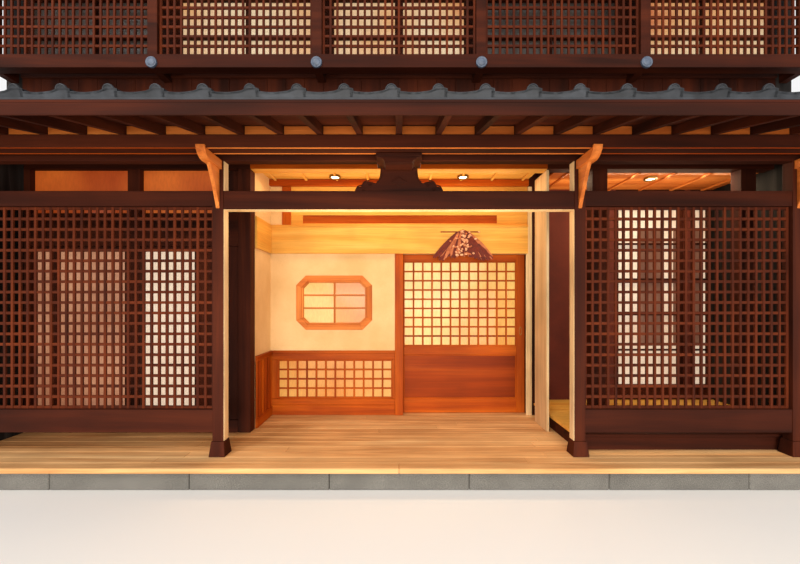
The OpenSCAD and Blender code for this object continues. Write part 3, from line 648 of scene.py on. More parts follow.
def placed(name: str, data: bpy.types.ID) -> bpy.types.Object:
    """Puts a mesh, lamp or camera into the scene.

    Args:
        name: The new object's name.
        data: What it shows.

    Returns:
        The object.
    """
    made = bpy.data.objects.new(name, data)
    bpy.context.scene.collection.objects.link(made)
    return made


class Build:
    """A mesh of many pieces that becomes one object."""

    def __init__(self, name: str, *materials: Material) -> None:
        """Starts an empty mesh.

        Args:
            name: The object's name.
            *materials: Its materials, in the order that pieces number them.
        """
        self.name, self.materials = name, materials
        self.mesh = bpy.data.meshes.new(name)
        self.bm = bmesh.new()

    def add(self, piece: Mesh, finish: int = 0, *places: Matrix) -> None:
        """Adds a piece once, or once at each place, and frees it.

        Args:
            piece: The mesh to add.
            finish: The number of its material.
            *places: Where copies go.
        """
        for face in piece.faces:
            face.material_index = finish
        holder = bpy.data.meshes.new("holder")
        piece.to_mesh(holder)
        piece.free()
        for place in places or (Matrix.Identity(4),):
            moved = holder.copy()
            moved.transform(place)
            self.bm.from_mesh(moved)
            bpy.data.meshes.remove(moved)
        bpy.data.meshes.remove(holder)

    def board(self, low: Corner, high: Corner, edge: float = CRISP, finish: int = 0) -> None:
        """Adds one chamfered board between two corners."""
        self.add(cuboid(low, high, edge), finish)

    def split(self, axis: Axis, low: Corner, high: Corner, count: int,
              gaps: Flat = (0.0, 0.0), edge: float = CRISP) -> None:
        """Adds boards that divide a box into equal parts.

        Args:
            axis: The axis across the boards.
            low: The box's lowest corner.
            high: Its highest corner.
            count: How many boards there are.
            gaps: What each board leaves free before and after it.
            edge: The width of their chamfers.
        """
        near, far, n = list(low), list(high), axis.value
        for start, end in divided(low[n], high[n], count):
            near[n], far[n] = start + gaps[0], end - gaps[1]
            self.board(near, far, edge)

    def row(self, axis: Axis, low: Corner, high: Corner, wide: float, steps: int,
            skip: tuple[int, int] = (0, 0), edge: float = CRISP, finish: int = 0) -> None:
        """Adds bars of one width at even steps from one side of a box to the other.

        Args:
            axis: The axis across the bars.
            low: The box's lowest corner.
            high: Its highest corner.
            wide: The width of a bar.
            steps: How many steps there are.
            skip: How many bars are left out at the start and at the end.
            edge: The width of their chamfers.
            finish: The number of their material.
        """
        near, far, n = list(low), list(high), axis.value
        step = (high[n] - low[n] - wide) / steps
        for i in range(skip[0], steps + 1 - skip[1]):
            near[n] = low[n] + i * step
            far[n] = near[n] + wide
            self.board(near, far, edge, finish)

    def done(self, slot: Slot, *replaced: str, body: Body = Body.HOUSE,
             smooth: float | None = None) -> None:
        """Makes the object and ties it to the frame.

        Args:
            slot: The record's slot; not used.
            *replaced: The CAD nodes that it stands for.
            body: The body that it rides on.
            smooth: The angle in degrees under which its faces are shaded smooth.
        """
        self.bm.to_mesh(self.mesh)
        self.bm.free()
        made = placed(self.name, self.mesh)
        for material in self.materials:
            self.mesh.materials.append(material)
        if smooth is not None:
            self.mesh.shade_smooth()
            self.mesh.set_sharp_from_angle(angle=math.radians(smooth))
        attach(made, body.value)
        if replaced:
            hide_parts(*replaced)
        LOG.info("%s: %d faces", self.name, len(self.mesh.polygons))


@dataclass
class Assembly:
    """A sub-assembly of the house, with the finishes and the frame's objects by name."""

    palette: Palette
    nodes: dict[str, bpy.types.Object]


@dataclass
class Carcass(Assembly):
    """The CAD nodes that stay as they are, with softened edges and their finishes."""

    post_edge: float = 0.004
    rafter_edge: float = 0.003
    frame_edge: float = 0.002
    track_edge: float = 0.001
    corner: float = 0.0002
    fold: float = math.radians(30)

    def build(self) -> None:
        """Dresses every node that no new piece stands for, and softens its edges."""
        wood = self.palette
        upright, level, deep = (wood.dark.along(axis) for axis in (Z, X, Y))
        for names, material, edge, segments in (
            ("front_posts main_posts upper_posts post_bases", upright, self.post_edge, 2),
            ("front_rails eave_purlins ground_wall_beams upper_lattice_frame eave_fascias "
             "roof_purlins", level, self.post_edge, 2),
            ("lattice_arms eave_rafters front_rafters rear_rafters", deep, self.rafter_edge, 2),
            # painted light: the brackets take the lamp-lit timber, lighter than the dark frame
            ("eave_brackets", wood.lit.along(Y), self.rafter_edge, 2),
            ("ground_window_frames upper_window_frames", upright, self.frame_edge, 1),
            ("wing_board", wood.white.along(Z), self.rafter_edge, 2),
            ("centre_post", wood.door.along(Z), self.post_edge, 2),
            ("door_tracks", wood.door.along(X), self.track_edge, 1),
            ("recess_left_wall window_wall entrance_upper_wall", wood["cream_plaster"], SHARP, 0),
            ("right_back_wall", wood["red_plaster"], SHARP, 0),
            ("party_walls", wood.cladding.along(Z), SHARP, 0),
            ("rear_wall upper_front_wall roof_boards", level, SHARP, 0),
            ("ground_floor upper_floor", wood.deck.along(X), SHARP, 0),
            ("ground_window_glass", wood["lit_pane"], SHARP, 0),
            ("door_glass", wood["door_pane"], SHARP, 0),
            ("upper_window_glass", wood["upper_pane"], SHARP, 0),
        ):
            for item in (self.nodes[name] for name in names.split()):
                item.data.materials.clear()
                item.data.materials.append(material)
                if segments:
                    weld = item.modifiers.new("joined_corners", "WELD")
                    weld.merge_threshold = self.corner
                    soft = item.modifiers.new("softened_edges", "BEVEL")
                    soft.width, soft.segments, soft.harden_normals = edge, segments, True
                    soft.limit_method, soft.angle_limit = "ANGLE", self.fold
            LOG.info("%s dressed", names)


@dataclass
class Decking(Assembly):
    """Floor boards of the porch, the recess and the side platform, and the stones under them."""

    joint: float = 0.004
    stone_depth: float = 0.16
    stones_wide: int = 7
    stones_deep: int = 6
    core_inset: float = 0.1
    nosing: float = 0.105
    longest: float = 2.95
    first: Flat = (0.35, 0.95)
    shortest: float = 0.5
    bed: float = 0.006
    shelf: float = 0.026
    shelf_front: float = 0.12
    shelf_gap: float = 0.0025
    shelf_rows: int = 8
    skirt: float = 0.022
    skirt_inset: float = 0.018
    wing_post: float = 0.095
    brace: float = 0.045
    braces: Flat = (2.2, 2.9)
    dice: random.Random = field(default_factory=lambda: random.Random(11))

    def build(self) -> None:
        """Builds the boards and stones."""
        self.footing()
        self.porch()
        self.platform()

    def footing(self) -> None:
        """A course of sawn sills round the foot, with a core behind them."""
        low, high = span("plinth")
        stones = Build("footing_stones", self.palette["footing_granite"])
        for along, count, inset in ((0, self.stones_wide, 0.0),
                                    (1, self.stones_deep, self.stone_depth + self.joint)):
            across = 1 - along
            for edge, side in ((low[across], 1), (high[across], -1)):
                near, far = low.copy(), high.copy()
                near[across], far[across] = sorted((edge, edge + side * self.stone_depth))
                blocks = divided(low[along] + inset, high[along] - inset, count)
                for i, (start, end) in enumerate(blocks):
                    near[along], far[along] = start + (self.joint if i else 0), end
                    stones.board(near, far, BLUNT)
        inset = self.core_inset
        stones.board((low.x + inset, low.y + inset, low.z),
                     (high.x - inset, high.y - inset, high.z - 0.004), SHARP)
        stones.done(Slot.STONE, "plinth")

    def course(self, build: Build, x: Flat, y: Flat, z: Flat) -> None:
        """One row of boards laid end to end.

        Args:
            build: Where the boards go.
            x: Start and end of the row.
            y: Its front and back.
            z: Its underside and top.
        """
        start = x[0]
        rest = self.dice.uniform(*self.first) * self.longest
        while start < x[1] - 1e-6:
            end = start + rest if x[1] - start - rest > self.shortest else x[1]
            build.board((start + (HAIR if start > x[0] else 0.0), y[0], z[0]), (end, y[1], z[1]),
                        SOFT)
            start, rest = end, self.longest

    def porch(self) -> None:
        """The deck's boards, laid along the street with a deeper nosing at the front."""
        low, high = span("porch_deck")
        inner, inset = span("ground_floor")[1].x, span("recess_left_wall")[0].x
        post_back, wall_front = span("front_posts")[1].y, span("main_posts")[0].y
        boards = Build("porch_boards", self.palette.deck.along(X))
        nose, gap = low.y + self.nosing, self.joint
        boards.board(low, (0.0, nose, high.z), NOSED)
        boards.board((HAIR, low.y, low.z), (high.x, nose, high.z), NOSED)
        for x0, x1, y0, y1, rows in ((low.x, high.x, nose + gap, post_back, 2),
                                     (-inner, inner, post_back + gap, wall_front, 4),
                                     (inset, inner, wall_front + gap, high.y, 5)):
            for front, back in divided(y0, y1 + gap, rows):
                self.course(boards, (x0, x1), (front, back - gap), (low.z + self.bed, high.z))
        boards.done(Slot.DECK, "porch_deck")

    def platform(self) -> None:
        """The side platform: boards on a skirt with a rounded front edge; the front board, the
        skirt and the braces are dark timber as painted shade.
        """
        low, high = span("side_platform")
        jamb_front, jamb_side = span("window_wall")[0].y, span("wing_board")[1].x + self.wing_post
        under, front = high.z - self.shelf, low.y + self.shelf_front
        shelf = Build("platform_boards", self.palette.pale.along(X), self.palette.dark.along(X))
        # painted shade: the front board takes the dark timber
        shelf.board((low.x, low.y, under), (high.x, front, high.z), BLUNT, 1)
        shelf.split(Y, (low.x, front + self.shelf_gap, under), (high.x, jamb_front, high.z),
                    self.shelf_rows, (0.0, self.shelf_gap), SOFT)
        shelf.board((jamb_side, jamb_front, under), high, SOFT)
        x, y = low.x + self.skirt_inset, low.y + self.skirt_inset
        # painted shade: the skirt and the braces take the dark timber
        shelf.board((x, y, low.z), (high.x, y + self.skirt, under), HAIR, 1)
        shelf.board((x, y + self.skirt, low.z), (x + self.skirt, jamb_front, under), HAIR, 1)
        for x in (*self.braces, high.x - self.brace):
            shelf.board((x, y + self.skirt, low.z), (x + self.brace, high.y, under), SHARP, 1)
        shelf.done(Slot.PALE, "side_platform")


@dataclass
class LatticeScreen(Assembly):
    """A screen of crossed bars, the uprights a little proud of the level bars behind them."""

    node: str
    columns: int
    rows: int
    upright: float = 0.021
    level: float = 0.023
    wood: Timber | None = None
    slot: Slot = Slot.LATTICE
    shared: bool = False
    proud: float = 0.0035
    sunk: float = 0.2

    def build(self) -> None:
        """Builds the bars, halved into each other; a shared first upright is the next panel's."""
        low, high = span(self.node)
        wood = self.wood or self.palette.lattice
        screen = Build(self.node + "_bars", wood.along(Z), wood.along(X))
        first, back = int(self.shared), high.y - self.sunk * (high.y - low.y)
        screen.row(X, (low.x - first * self.upright, low.y, low.z), (high.x, back, high.z),
                   self.upright, self.columns, (first, 0))
        screen.row(Z, (low.x, low.y + self.proud, low.z), high, self.level, self.rows, finish=1)
        screen.done(self.slot, self.node)


@dataclass
class CarvedStrut(Assembly):
    """The strut on the lintel: a scrolled leg with carved lines under a flared bearing block."""

    leg_depth: float = 0.074
    body: float = 0.152
    neck: float = 0.107
    block_half: float = 0.178
    block_h: float = 0.082
    carving: float = 0.009
    bead_depth: float = 0.014
    bead: float = 0.007
    scroll_bead: float = 0.006
    line_inset: float = 0.013
    scroll_steps: int = 22
    petal: Flat = (0.052, 0.030)
    petal_wave: float = 0.22
    petal_step: int = 9
    crease: float = 35.0

    def __post_init__(self) -> None:
        """Takes the strut's place from its node."""
        low, high = span("carved_strut")
        self.foot, self.top, self.half = low.z, high.z, high.x
        self.front, self.back = low.y, high.y
        self.leg_front = self.back - self.leg_depth
        self.rise = self.top - self.block_h - self.foot

    def leg(self, shrink: float = 0.0) -> list[Flat]:
        """Half outline of the leg.

        Args:
            shrink: How far the outline is drawn in.

        Returns:
            Points from the foot to the neck.
        """
        half, body, foot = self.half - shrink, self.body - shrink, self.foot + shrink
        rise = self.top - self.block_h - foot
        steps, head = arc(0, 90, 9), self.top - 0.062
        line = [(half, foot)]
        line += [(half * (0.865 + 0.135 * c), foot + 0.24 * rise * s) for c, s in steps]
        line += [(half * (0.70 + 0.15 * c), foot + (0.27 + 0.22 * s) * rise) for c, s in steps]
        line += [(0.60 * half, foot + 0.46 * rise), (0.53 * half, foot + 0.40 * rise)]
        climb = head - (foot + rise) + 0.56 * rise
        line += [(0.52 * half - (0.52 * half - body) * s, head - climb * c) for c, s in steps]
        return line + [(body - 0.037, head + 0.026)]

    def flare(self) -> list[Flat]:
        """Half outline of the bearing block.

        Returns:
            Points from the neck to the top.
        """
        low, reach = self.top - self.block_h, self.block_half - self.neck
        return [(self.neck + reach * (1 - c), low + 0.58 * self.block_h * s)
                for c, s in arc(0, 90, 9)] + [(self.block_half, self.top)]

    @staticmethod
    def whole(half: list[Flat]) -> list[Flat]:
        """Joins a half outline to its mirror image."""
        return half + [(-x, z) for x, z in reversed(half)]

    def line(self, build: Build, points: Sequence[Flat], width: float) -> None:
        """A raised bead along a line on both sides of the leg.

        Args:
            build: Where the bead goes.
            points: The line's points on the right side.
            width: Its width.
        """
        for side in (1, -1):
            for start, end in zip(points, points[1:]):
                start, end = Vector(start), Vector(end)
                run = end - start
                if run.length < 1e-5:
                    continue
                out = Vector((-run.y, run.x)).normalized() * width / 2
                ahead = run.normalized() * width * 0.25
                corners = (start - ahead + out, start - ahead - out, end + ahead - out,
                           end + ahead + out)
                build.add(prism([(side * c.x, c.y) for c in corners], Y, self.leg_front,
                                self.leg_front + self.bead_depth, FINE))

    def scroll(self, build: Build, x: float, z: float, size: float) -> None:
        """A spiral bead on both sides of the leg.

        Args:
            build: Where it goes.
            x: Its middle.
            z: Its height.
            size: Its outer radius.
        """
        points, steps = [], self.scroll_steps
        for share in (i / steps for i in range(steps + 1)):
            radius, angle = size * (1 - 0.8 * share), 2 * math.tau * share
            points.append((x + radius * math.cos(angle), z + radius * math.sin(angle)))
        self.line(build, points, self.scroll_bead)

    def build(self) -> None:
        """Builds the leg, its beads and scrolls, the flower and the block."""
        strut = Build("carved_strut_work", self.palette.dark.along(X))
        strut.add(prism(self.whole(self.leg()), Y, self.leg_front + self.carving, self.back, SOFT))
        inner = self.leg(self.line_inset)
        for bead in (inner[1:12], inner[12:23], inner[25:34]):
            self.line(strut, bead, self.bead)
        self.scroll(strut, 0.80 * self.half, self.foot + 0.09 * self.rise, 0.013)
        self.scroll(strut, 0.66 * self.half, self.foot + 0.31 * self.rise, 0.015)
        wide, tall = self.petal
        middle, petals = self.foot + 0.47 * self.rise, []
        for a in (math.radians(degrees) for degrees in range(0, 360, self.petal_step)):
            wave = 1.0 + self.petal_wave * math.cos(4 * a)
            petals.append((wide * math.sin(a) * wave, middle + tall * math.cos(a) * wave))
        strut.add(prism(petals, Y, self.leg_front, self.leg_front + self.bead_depth, SOFT))
        boss = turned([(0.0, 0.006), (0.006, 0.0055), (0.011, 0.003), (0.013, 0.0), (0.0, 0.0)], 16)
        strut.add(boss, 0, at(0.0, self.leg_front, middle, math.pi / 2) @ at(0, 0, -0.006))
        strut.add(prism(self.whole(self.flare()), Y, self.front + 0.006, self.back, ROUND))
        strut.board((0.006 - self.block_half, self.front, self.top - 0.42 * self.block_h + 0.007),
                    (self.block_half - 0.006, self.front + 0.010, self.top - 0.007))
        strut.done(Slot.DARK, "carved_strut", smooth=self.crease)


@dataclass
class EaveWork(Assembly):
    """The blocking boards over the outer purlin, one between each pair of rafters, in the lamp-lit
    timber as painted light.
    """

    pitch: float = 0.2955
    rafter: float = 0.045
    slope: float = 0.25
    seat: float = 0.097
    front: float = 0.020
    thick: float = 0.014
    head: float = 0.0645
    bays: int = 24

    def build(self) -> None:
        """Builds the boards."""
        purlin = span("eave_purlins")[0]
        seat, front = purlin.z + self.seat, purlin.y + self.front
        back = front + self.thick
        # painted light: the boards take the lamp-lit timber
        blocks = Build("eave_blocking", self.palette.lit.along(X))
        inset, half = self.rafter / 2 + SLIT, self.bays / 2 * self.pitch
        foot, head = seat + self.slope * (back - purlin.y) + SLIT, seat + self.slope * self.front
        blocks.split(X, (-half, front, foot), (half, back, head + self.head), self.bays,
                     (inset, inset), HAIR)
        blocks.done(Slot.DARK)


@dataclass
class EntranceRecess(Assembly):
    """The walls, trim, windows and ceiling of the recessed entrance."""

    boards: int = 5
    board_t: float = 0.010
    batten: float = 0.011
    batten_t: float = 0.019
    rail_t: float = 0.023
    foot_rail: float = 0.10
    cap_rail: float = 0.055
    cap: float = 0.012
    octagon_cut: float = 0.1075
    frame_w: float = 0.058
    bead_w: float = 0.078
    bar: float = 0.009
    bar_shares: Flat = (-0.10, 0.14)
    kick_board: float = 0.115
    cap_board: float = 0.030
    bead: float = 0.008
    lattice_bar: float = 0.018
    fascia_t: float = 0.020
    panel_left: float = -1.20
    sunk: tuple[float, float, float, float] = (-1.07, 1.09, 0.018, 0.108)
    header_half: float = 1.43
    header_h: float = 0.098
    casing_w: float = 0.044
    lit_face_t: float = 0.004
    lintel_z: float = 2.2045
    ceiling_t: float = 0.018
    ceiling_batten: float = 0.024
    lamp_x: float = 0.687
    ceiling_rows: int = 4
    ceiling_battens: int = 9
    ceiling_inset: float = 0.06
    beam_depth: float = 0.050
    platform_z: float = 2.745
    platform_rows: int = 5
    platform_battens: int = 6
    platform_reach: Flat = (0.12, 1.944)
    low_lattice: tuple[int, int] = (12, 4)
    lamp_back: float = 0.304
    lamp_steps: int = 28
    crease: float = 40.0
    platform_lamp: Flat = (2.62, 0.185)

    def __post_init__(self) -> None:
        """Takes the recess's places from the frame."""
        self.wall_y = span("window_wall")[0].y
        self.side = span("recess_left_wall")
        self.floor, self.rail = span("porch_deck")[1].z, span("low_window_frame")[1].z
        self.fascia = span("fascia_boards")
        self.wing_top = span("wing_board")[1].z

    def build(self) -> None:
        """Builds every trim piece of the recess."""
        for piece in (self.wainscot, self.octagon, self.octagon_screens, self.low_window,
                      self.fascia_boards, self.header_face, self.upper_panel, self.casing,
                      self.painted_lit_faces, self.ceiling, self.platform_ceiling):
            piece()

    def wainscot(self) -> None:
        """Upright boards with a cap and a foot rail on the left side wall."""
        wood = self.palette.door
        panel = Build("side_wainscot", wood.along(Z), wood.along(Y))
        face, half = self.side[1].x, self.batten
        y0, y1 = self.side[0].y + HAIR, self.wall_y - SLIT
        foot, head = self.floor + self.foot_rail, self.rail - self.cap_rail
        panel.split(Y, (face, y0, foot - 0.01), (face + self.board_t, y1, head + 0.01),
                    self.boards, (0.0, 0.002), SOFT)
        for seam in [y0, *(end for _, end in divided(y0, y1, self.boards))]:
            middle = min(max(seam - HAIR, y0 + half), y1 - half)
            panel.board((face, middle - half, foot), (face + self.batten_t, middle + half, head),
                        SOFT)
        cap = self.rail - self.cap
        for z0, z1, thick, edge in ((self.floor, foot, self.rail_t, ROUND),
                                    (head, cap, self.rail_t, SOFT), (cap, self.rail, 0.030, SOFT)):
            panel.board((face, y0, z0), (face + thick, y1, z1), edge, 1)
        panel.done(Slot.DOOR)

    def ring(self, margin: float) -> list[Flat]:
        """Corners of the octagon window.

        Args:
            margin: How far it is drawn in from the window's outline.

        Returns:
            Eight corners, counter-clockwise.
        """
        low, high = span("octagon_frame")
        middle = (low + high) / 2
        w, h = (high.x - low.x) / 2 - margin, (high.z - low.z) / 2 - margin
        cut = self.octagon_cut - margin * (2 - math.sqrt(2))
        corners = [(w - cut, -h), (w, cut - h), (w, h - cut), (w - cut, h)]
        corners += [(-x, -z) for x, z in corners]
        return [(middle.x + x, middle.z + z) for x, z in corners]

    def octagon(self) -> None:
        """The mitred frame of the octagon window with its inner bead and bars."""
        low, high = span("octagon_frame")
        # painted light: the frame takes the lamp-lit timber
        wood = self.palette.lit
        frame = Build("octagon_window", wood.along(X), wood.along(Z))
        for outer, inner, front in ((0.0, self.frame_w, low.y),
                                    (self.frame_w, self.bead_w, low.y + 0.012)):
            out, into = self.ring(outer), self.ring(inner)
            for i in range(8):
                j = (i + 1) % 8
                upright = abs(out[j][1] - out[i][1]) > abs(out[j][0] - out[i][0])
                frame.add(prism([out[i], out[j], into[j], into[i]], Y, front, high.y, EASED),
                          int(upright))
        middle, front = (low + high) / 2, self.wall_y + 0.010
        across, up = zip(*self.ring(self.bead_w - 0.002))
        frame.board((middle.x - self.bar, front, min(up)),
                    (middle.x + self.bar, front + 0.016, max(up)), finish=1)
        for share in self.bar_shares:
            z = middle.z + share * (high.z - low.z)
            frame.board((min(across), front + 0.002, z - self.bar),
                        (max(across), front + 0.016, z + self.bar))
        frame.done(Slot.DOOR, "octagon_frame")

    def octagon_screens(self) -> None:
        """The two paper screens behind the octagon window's bars."""
        low, high = span("octagon_frame")
        middle, front = (low + high) / 2, self.wall_y + 0.0272
        screens = Build("octagon_screens", self.palette["door_pane"], self.palette["amber_pane"])
        for side, finish in ((-1, 0), (1, 1)):
            half = sorted((p for p in self.ring(self.bead_w - HAIR)
                           if (p[0] - middle.x) * side > 0),
                          key=lambda p: math.atan2(p[1] - middle.z, (p[0] - middle.x) * side))
            corners = [(middle.x, half[0][1]), *half, (middle.x, half[-1][1])]
            screens.add(prism(corners, Y, front, front + 0.0016), finish)
        screens.done(Slot.GLASS)

    def low_window(self) -> None:
        """The low lattice window with its sill, stiles and cap rail."""
        low, high = span("low_window_frame")
        hole_low, hole_high = span("low_lattice")
        wood = self.palette.door
        frame = Build("low_window", wood.along(X), wood.along(Z))
        split, cap = low.z + self.kick_board, high.z - self.cap_board
        for lift, z0, z1, edge in ((0.0, low.z, split - 0.002, SOFT),
                                   (0.008, split, hole_low.z, ROUND),
                                   (0.0, hole_high.z, cap, SOFT), (0.013, cap, high.z, ROUND)):
            frame.board((low.x, low.y - lift, z0), (high.x, high.y, z1), edge)
        for x0, x1 in ((low.x, hole_low.x), (hole_high.x, high.x)):
            frame.board((x0, low.y + HAIR, hole_low.z), (x1, high.y, hole_high.z), CRISP, 1)
        front, bead = low.y + 0.004, self.bead
        for x in (hole_low.x, hole_high.x - bead):
            frame.board((x, front, hole_low.z), (x + bead, hole_high.y, hole_high.z), HAIR, 1)
        for z in (hole_low.z, hole_high.z - bead):
            frame.board((hole_low.x, front, z), (hole_high.x, hole_high.y, z + bead), HAIR)
        frame.done(Slot.DOOR, "low_window_frame")
        LatticeScreen(self.palette, self.nodes, "low_lattice", *self.low_lattice, self.lattice_bar,
                      self.lattice_bar, wood, Slot.DOOR).build()

    def fascia_boards(self) -> None:
        """The wide boards over the window wall and the door, with a bead under them."""
        low, high = self.fascia
        wood = self.palette.pale
        boards = Build("recess_fascia", wood.along(X), wood.along(Y))
        front = high.y - self.fascia_t
        boards.board((low.x, front, low.z), high, SOFT)
        boards.board(low, (low.x + self.fascia_t, front - HAIR, high.z), SOFT, 1)
        boards.board((low.x, front - 0.006, high.z - 0.022), (high.x, front, high.z))
        boards.board((low.x, front - 0.004, low.z), (high.x, front, low.z + 0.014))
        boards.done(Slot.PALE, "fascia_boards")

    def upper_panel(self) -> None:
        """The boarded panel over the fascia, with a sunk band framed in it."""
        wood, door = self.palette.pale, self.palette.door
        panel = Build("recess_upper_panel", wood.along(X), door.along(X), door.along(Z))
        back, foot = self.wall_y, self.fascia[1].z + HAIR
        head = span("recess_ceiling")[0].z - HAIR
        left, right = self.panel_left, self.fascia[1].x - HAIR
        x0, x1, z0, z1 = self.sunk
        z0, z1, front = foot + z0, foot + z1, back - 0.010
        panel.board((left, front, foot), (right, back, z0))
        panel.board((left, front, z1), (right, back, head))
        panel.board((left, front, z0), (x0, back, z1))
        panel.board((x1, front, z0), (right, back, z1))
        panel.board((x0, back - 0.003, z0), (x1, back, z1), SHARP, 1)
        panel.board((left - 0.10, back - 0.016, foot), (left - HAIR, back, head), SOFT, 2)
        panel.done(Slot.PALE)

    def header_face(self) -> None:
        """The lighter facing board on the beam over the recess, painted as a lamp-lit face, with a
        thin pale board under the beam painted as its lit underside.
        """
        front, foot, half = span("ground_wall_beams")[0].y, self.wing_top, self.header_half
        face = Build("header_face", self.palette.door.along(X), self.palette.pale.along(X))
        # painted light: a lighter board on the beam's face, and a pale one under it
        face.board((-half, front - 0.012, foot + HAIR), (half, front - SLIT, foot + self.header_h))
        face.board((-half, front, foot - 0.003), (half, front + 0.118, foot + SLIT), HAIR, 1)
        face.done(Slot.DOOR)

    def casing(self) -> None:
        """The pale casing of the jamb post beside the door."""
        casing = Build("jamb_casing", self.palette.white.along(Z))
        edge, front = self.fascia[1].x + HAIR, self.wall_y - 0.014
        casing.board((edge, front, self.floor), (edge + self.casing_w, self.wall_y, self.wing_top))
        casing.board((edge - self.casing_w / 2, front, self.floor),
                     (edge - SLIT, self.wall_y, self.fascia[0].z - HAIR))
        casing.done(Slot.PALE)

    def painted_lit_faces(self) -> None:
        """Thin pale boards painted as lamp-lit faces on the entrance posts and under the lintel,
        and two painted highlight lines along the outer purlin's lower edges.
        """
        low, high = span("front_posts")
        inner, lintel, purlin = span("window_wall")[0].x, span("front_rails"), span("eave_purlins")
        wood = self.palette
        sides = Build("post_linings", wood.white.along(Z), wood.lit.along(X), wood.panel.along(X))
        thick, head = self.lit_face_t, self.lintel_z
        # painted light: pale boards on the posts' inner faces, lighter than the dark posts
        for side in (-1, 1):
            near, far = sorted((side * abs(inner), side * (abs(inner) - thick)))
            for z0, z1 in ((low.z + HAIR, head), (lintel[1].z + HAIR, high.z - HAIR)):
                sides.board((near, low.y + 0.006, z0), (far, high.y - 0.003, z1), HAIR)
        sides.board((inner + thick, low.y + 0.008, head - 0.003),
                    (-inner - thick, high.y - 0.008, head), HAIR)
        # painted highlights: thin strips along the outer purlin's lower front and back edges
        for y in (purlin[0].y + 0.003, purlin[0].y + 0.112):
            for x0, x1, finish in ((purlin[0].x, inner, 2), (inner, -inner, 1),
                                   (-inner, purlin[1].x, 2)):
                sides.board((x0, y, high.z - thick), (x1, y + 0.012, high.z), HAIR, finish)
        sides.done(Slot.PALE)

    def ceiling(self) -> None:
        """The boarded ceiling with thin battens, its back beam and two lamps."""
        low, high = span("recess_ceiling")
        wood = self.palette.pale
        boards = Build("recess_ceiling_boards", wood.along(X), wood.along(Y),
                       self.palette.door.along(X))
        under, beam = high.z - self.ceiling_t, high.y - self.beam_depth
        for row, (y0, y1) in enumerate(divided(low.y, high.y, self.ceiling_rows)):
            boards.board((low.x, y0, under + 0.004 * (row % 2)), (high.x, y1 - 0.0015, high.z))
        inset = self.ceiling_inset
        boards.row(X, (low.x + inset, low.y, under - 0.020), (high.x - inset, beam, under),
                   self.ceiling_batten, self.ceiling_battens - 1, edge=SOFT, finish=1)
        boards.board((low.x, beam, low.z), (high.x, high.y, under), ROUND, 2)
        boards.done(Slot.PALE, "recess_ceiling")
        self.lamps("recess_lamps", (-self.lamp_x, self.lamp_x),
                   self.side[0].y + self.lamp_back, under - 0.0205)

    def platform_ceiling(self) -> None:
        """The boarded ceiling over the side platform, with a lamp."""
        # painted light: the boards take the lamp-lit timber
        wood = self.palette.lit
        boards = Build("platform_ceiling", wood.along(X), wood.along(Y))
        wall, z = span("right_back_wall")[0], self.platform_z
        x0, x1 = wall.x + HAIR, span("side_platform")[1].x - HAIR
        y0, y1 = span("wing_board")[0].y + 0.095, wall.y - HAIR
        boards.split(Y, (x0, y0, z), (x1, y1, z + self.ceiling_t), self.platform_rows, (0.0, 0.002))
        first, last = self.platform_reach
        boards.row(X, (x0 + first, y0, z - self.ceiling_t), (x0 + last, y1, z),
                   self.ceiling_batten, self.platform_battens - 1, edge=SOFT, finish=1)
        boards.done(Slot.PALE)
        x, y = self.platform_lamp
        self.lamps("platform_lamp", (x,), self.side[0].y + y, z - 0.0185)

    def lamps(self, name: str, across: Sequence[float], y: float, z: float) -> None:
        """Recessed round lamps: thin rings with domed lenses in them.

        Args:
            name: What they are called.
            across: The middle of each, from left to right.
            y: Their middles.
            z: The height of the rings' backs.
        """
        lamps = Build(name, self.palette["aged_brass"], self.palette["lamp_lens"])
        ring = [(0.042, 0.020), (0.058, 0.020), (0.062, 0.0), (0.060, -0.004), (0.047, -0.004),
                (0.044, 0.004), (0.042, 0.020)]
        lens = [(0.0, -0.003), (0.024, -0.001), (0.043, 0.005), (0.041, 0.018), (0.0, 0.018)]
        for x in across:
            for finish, profile in enumerate((ring, lens)):
                lamps.add(turned(profile, self.lamp_steps), finish, at(x, y, z))
        lamps.done(Slot.GLASS, smooth=self.crease)


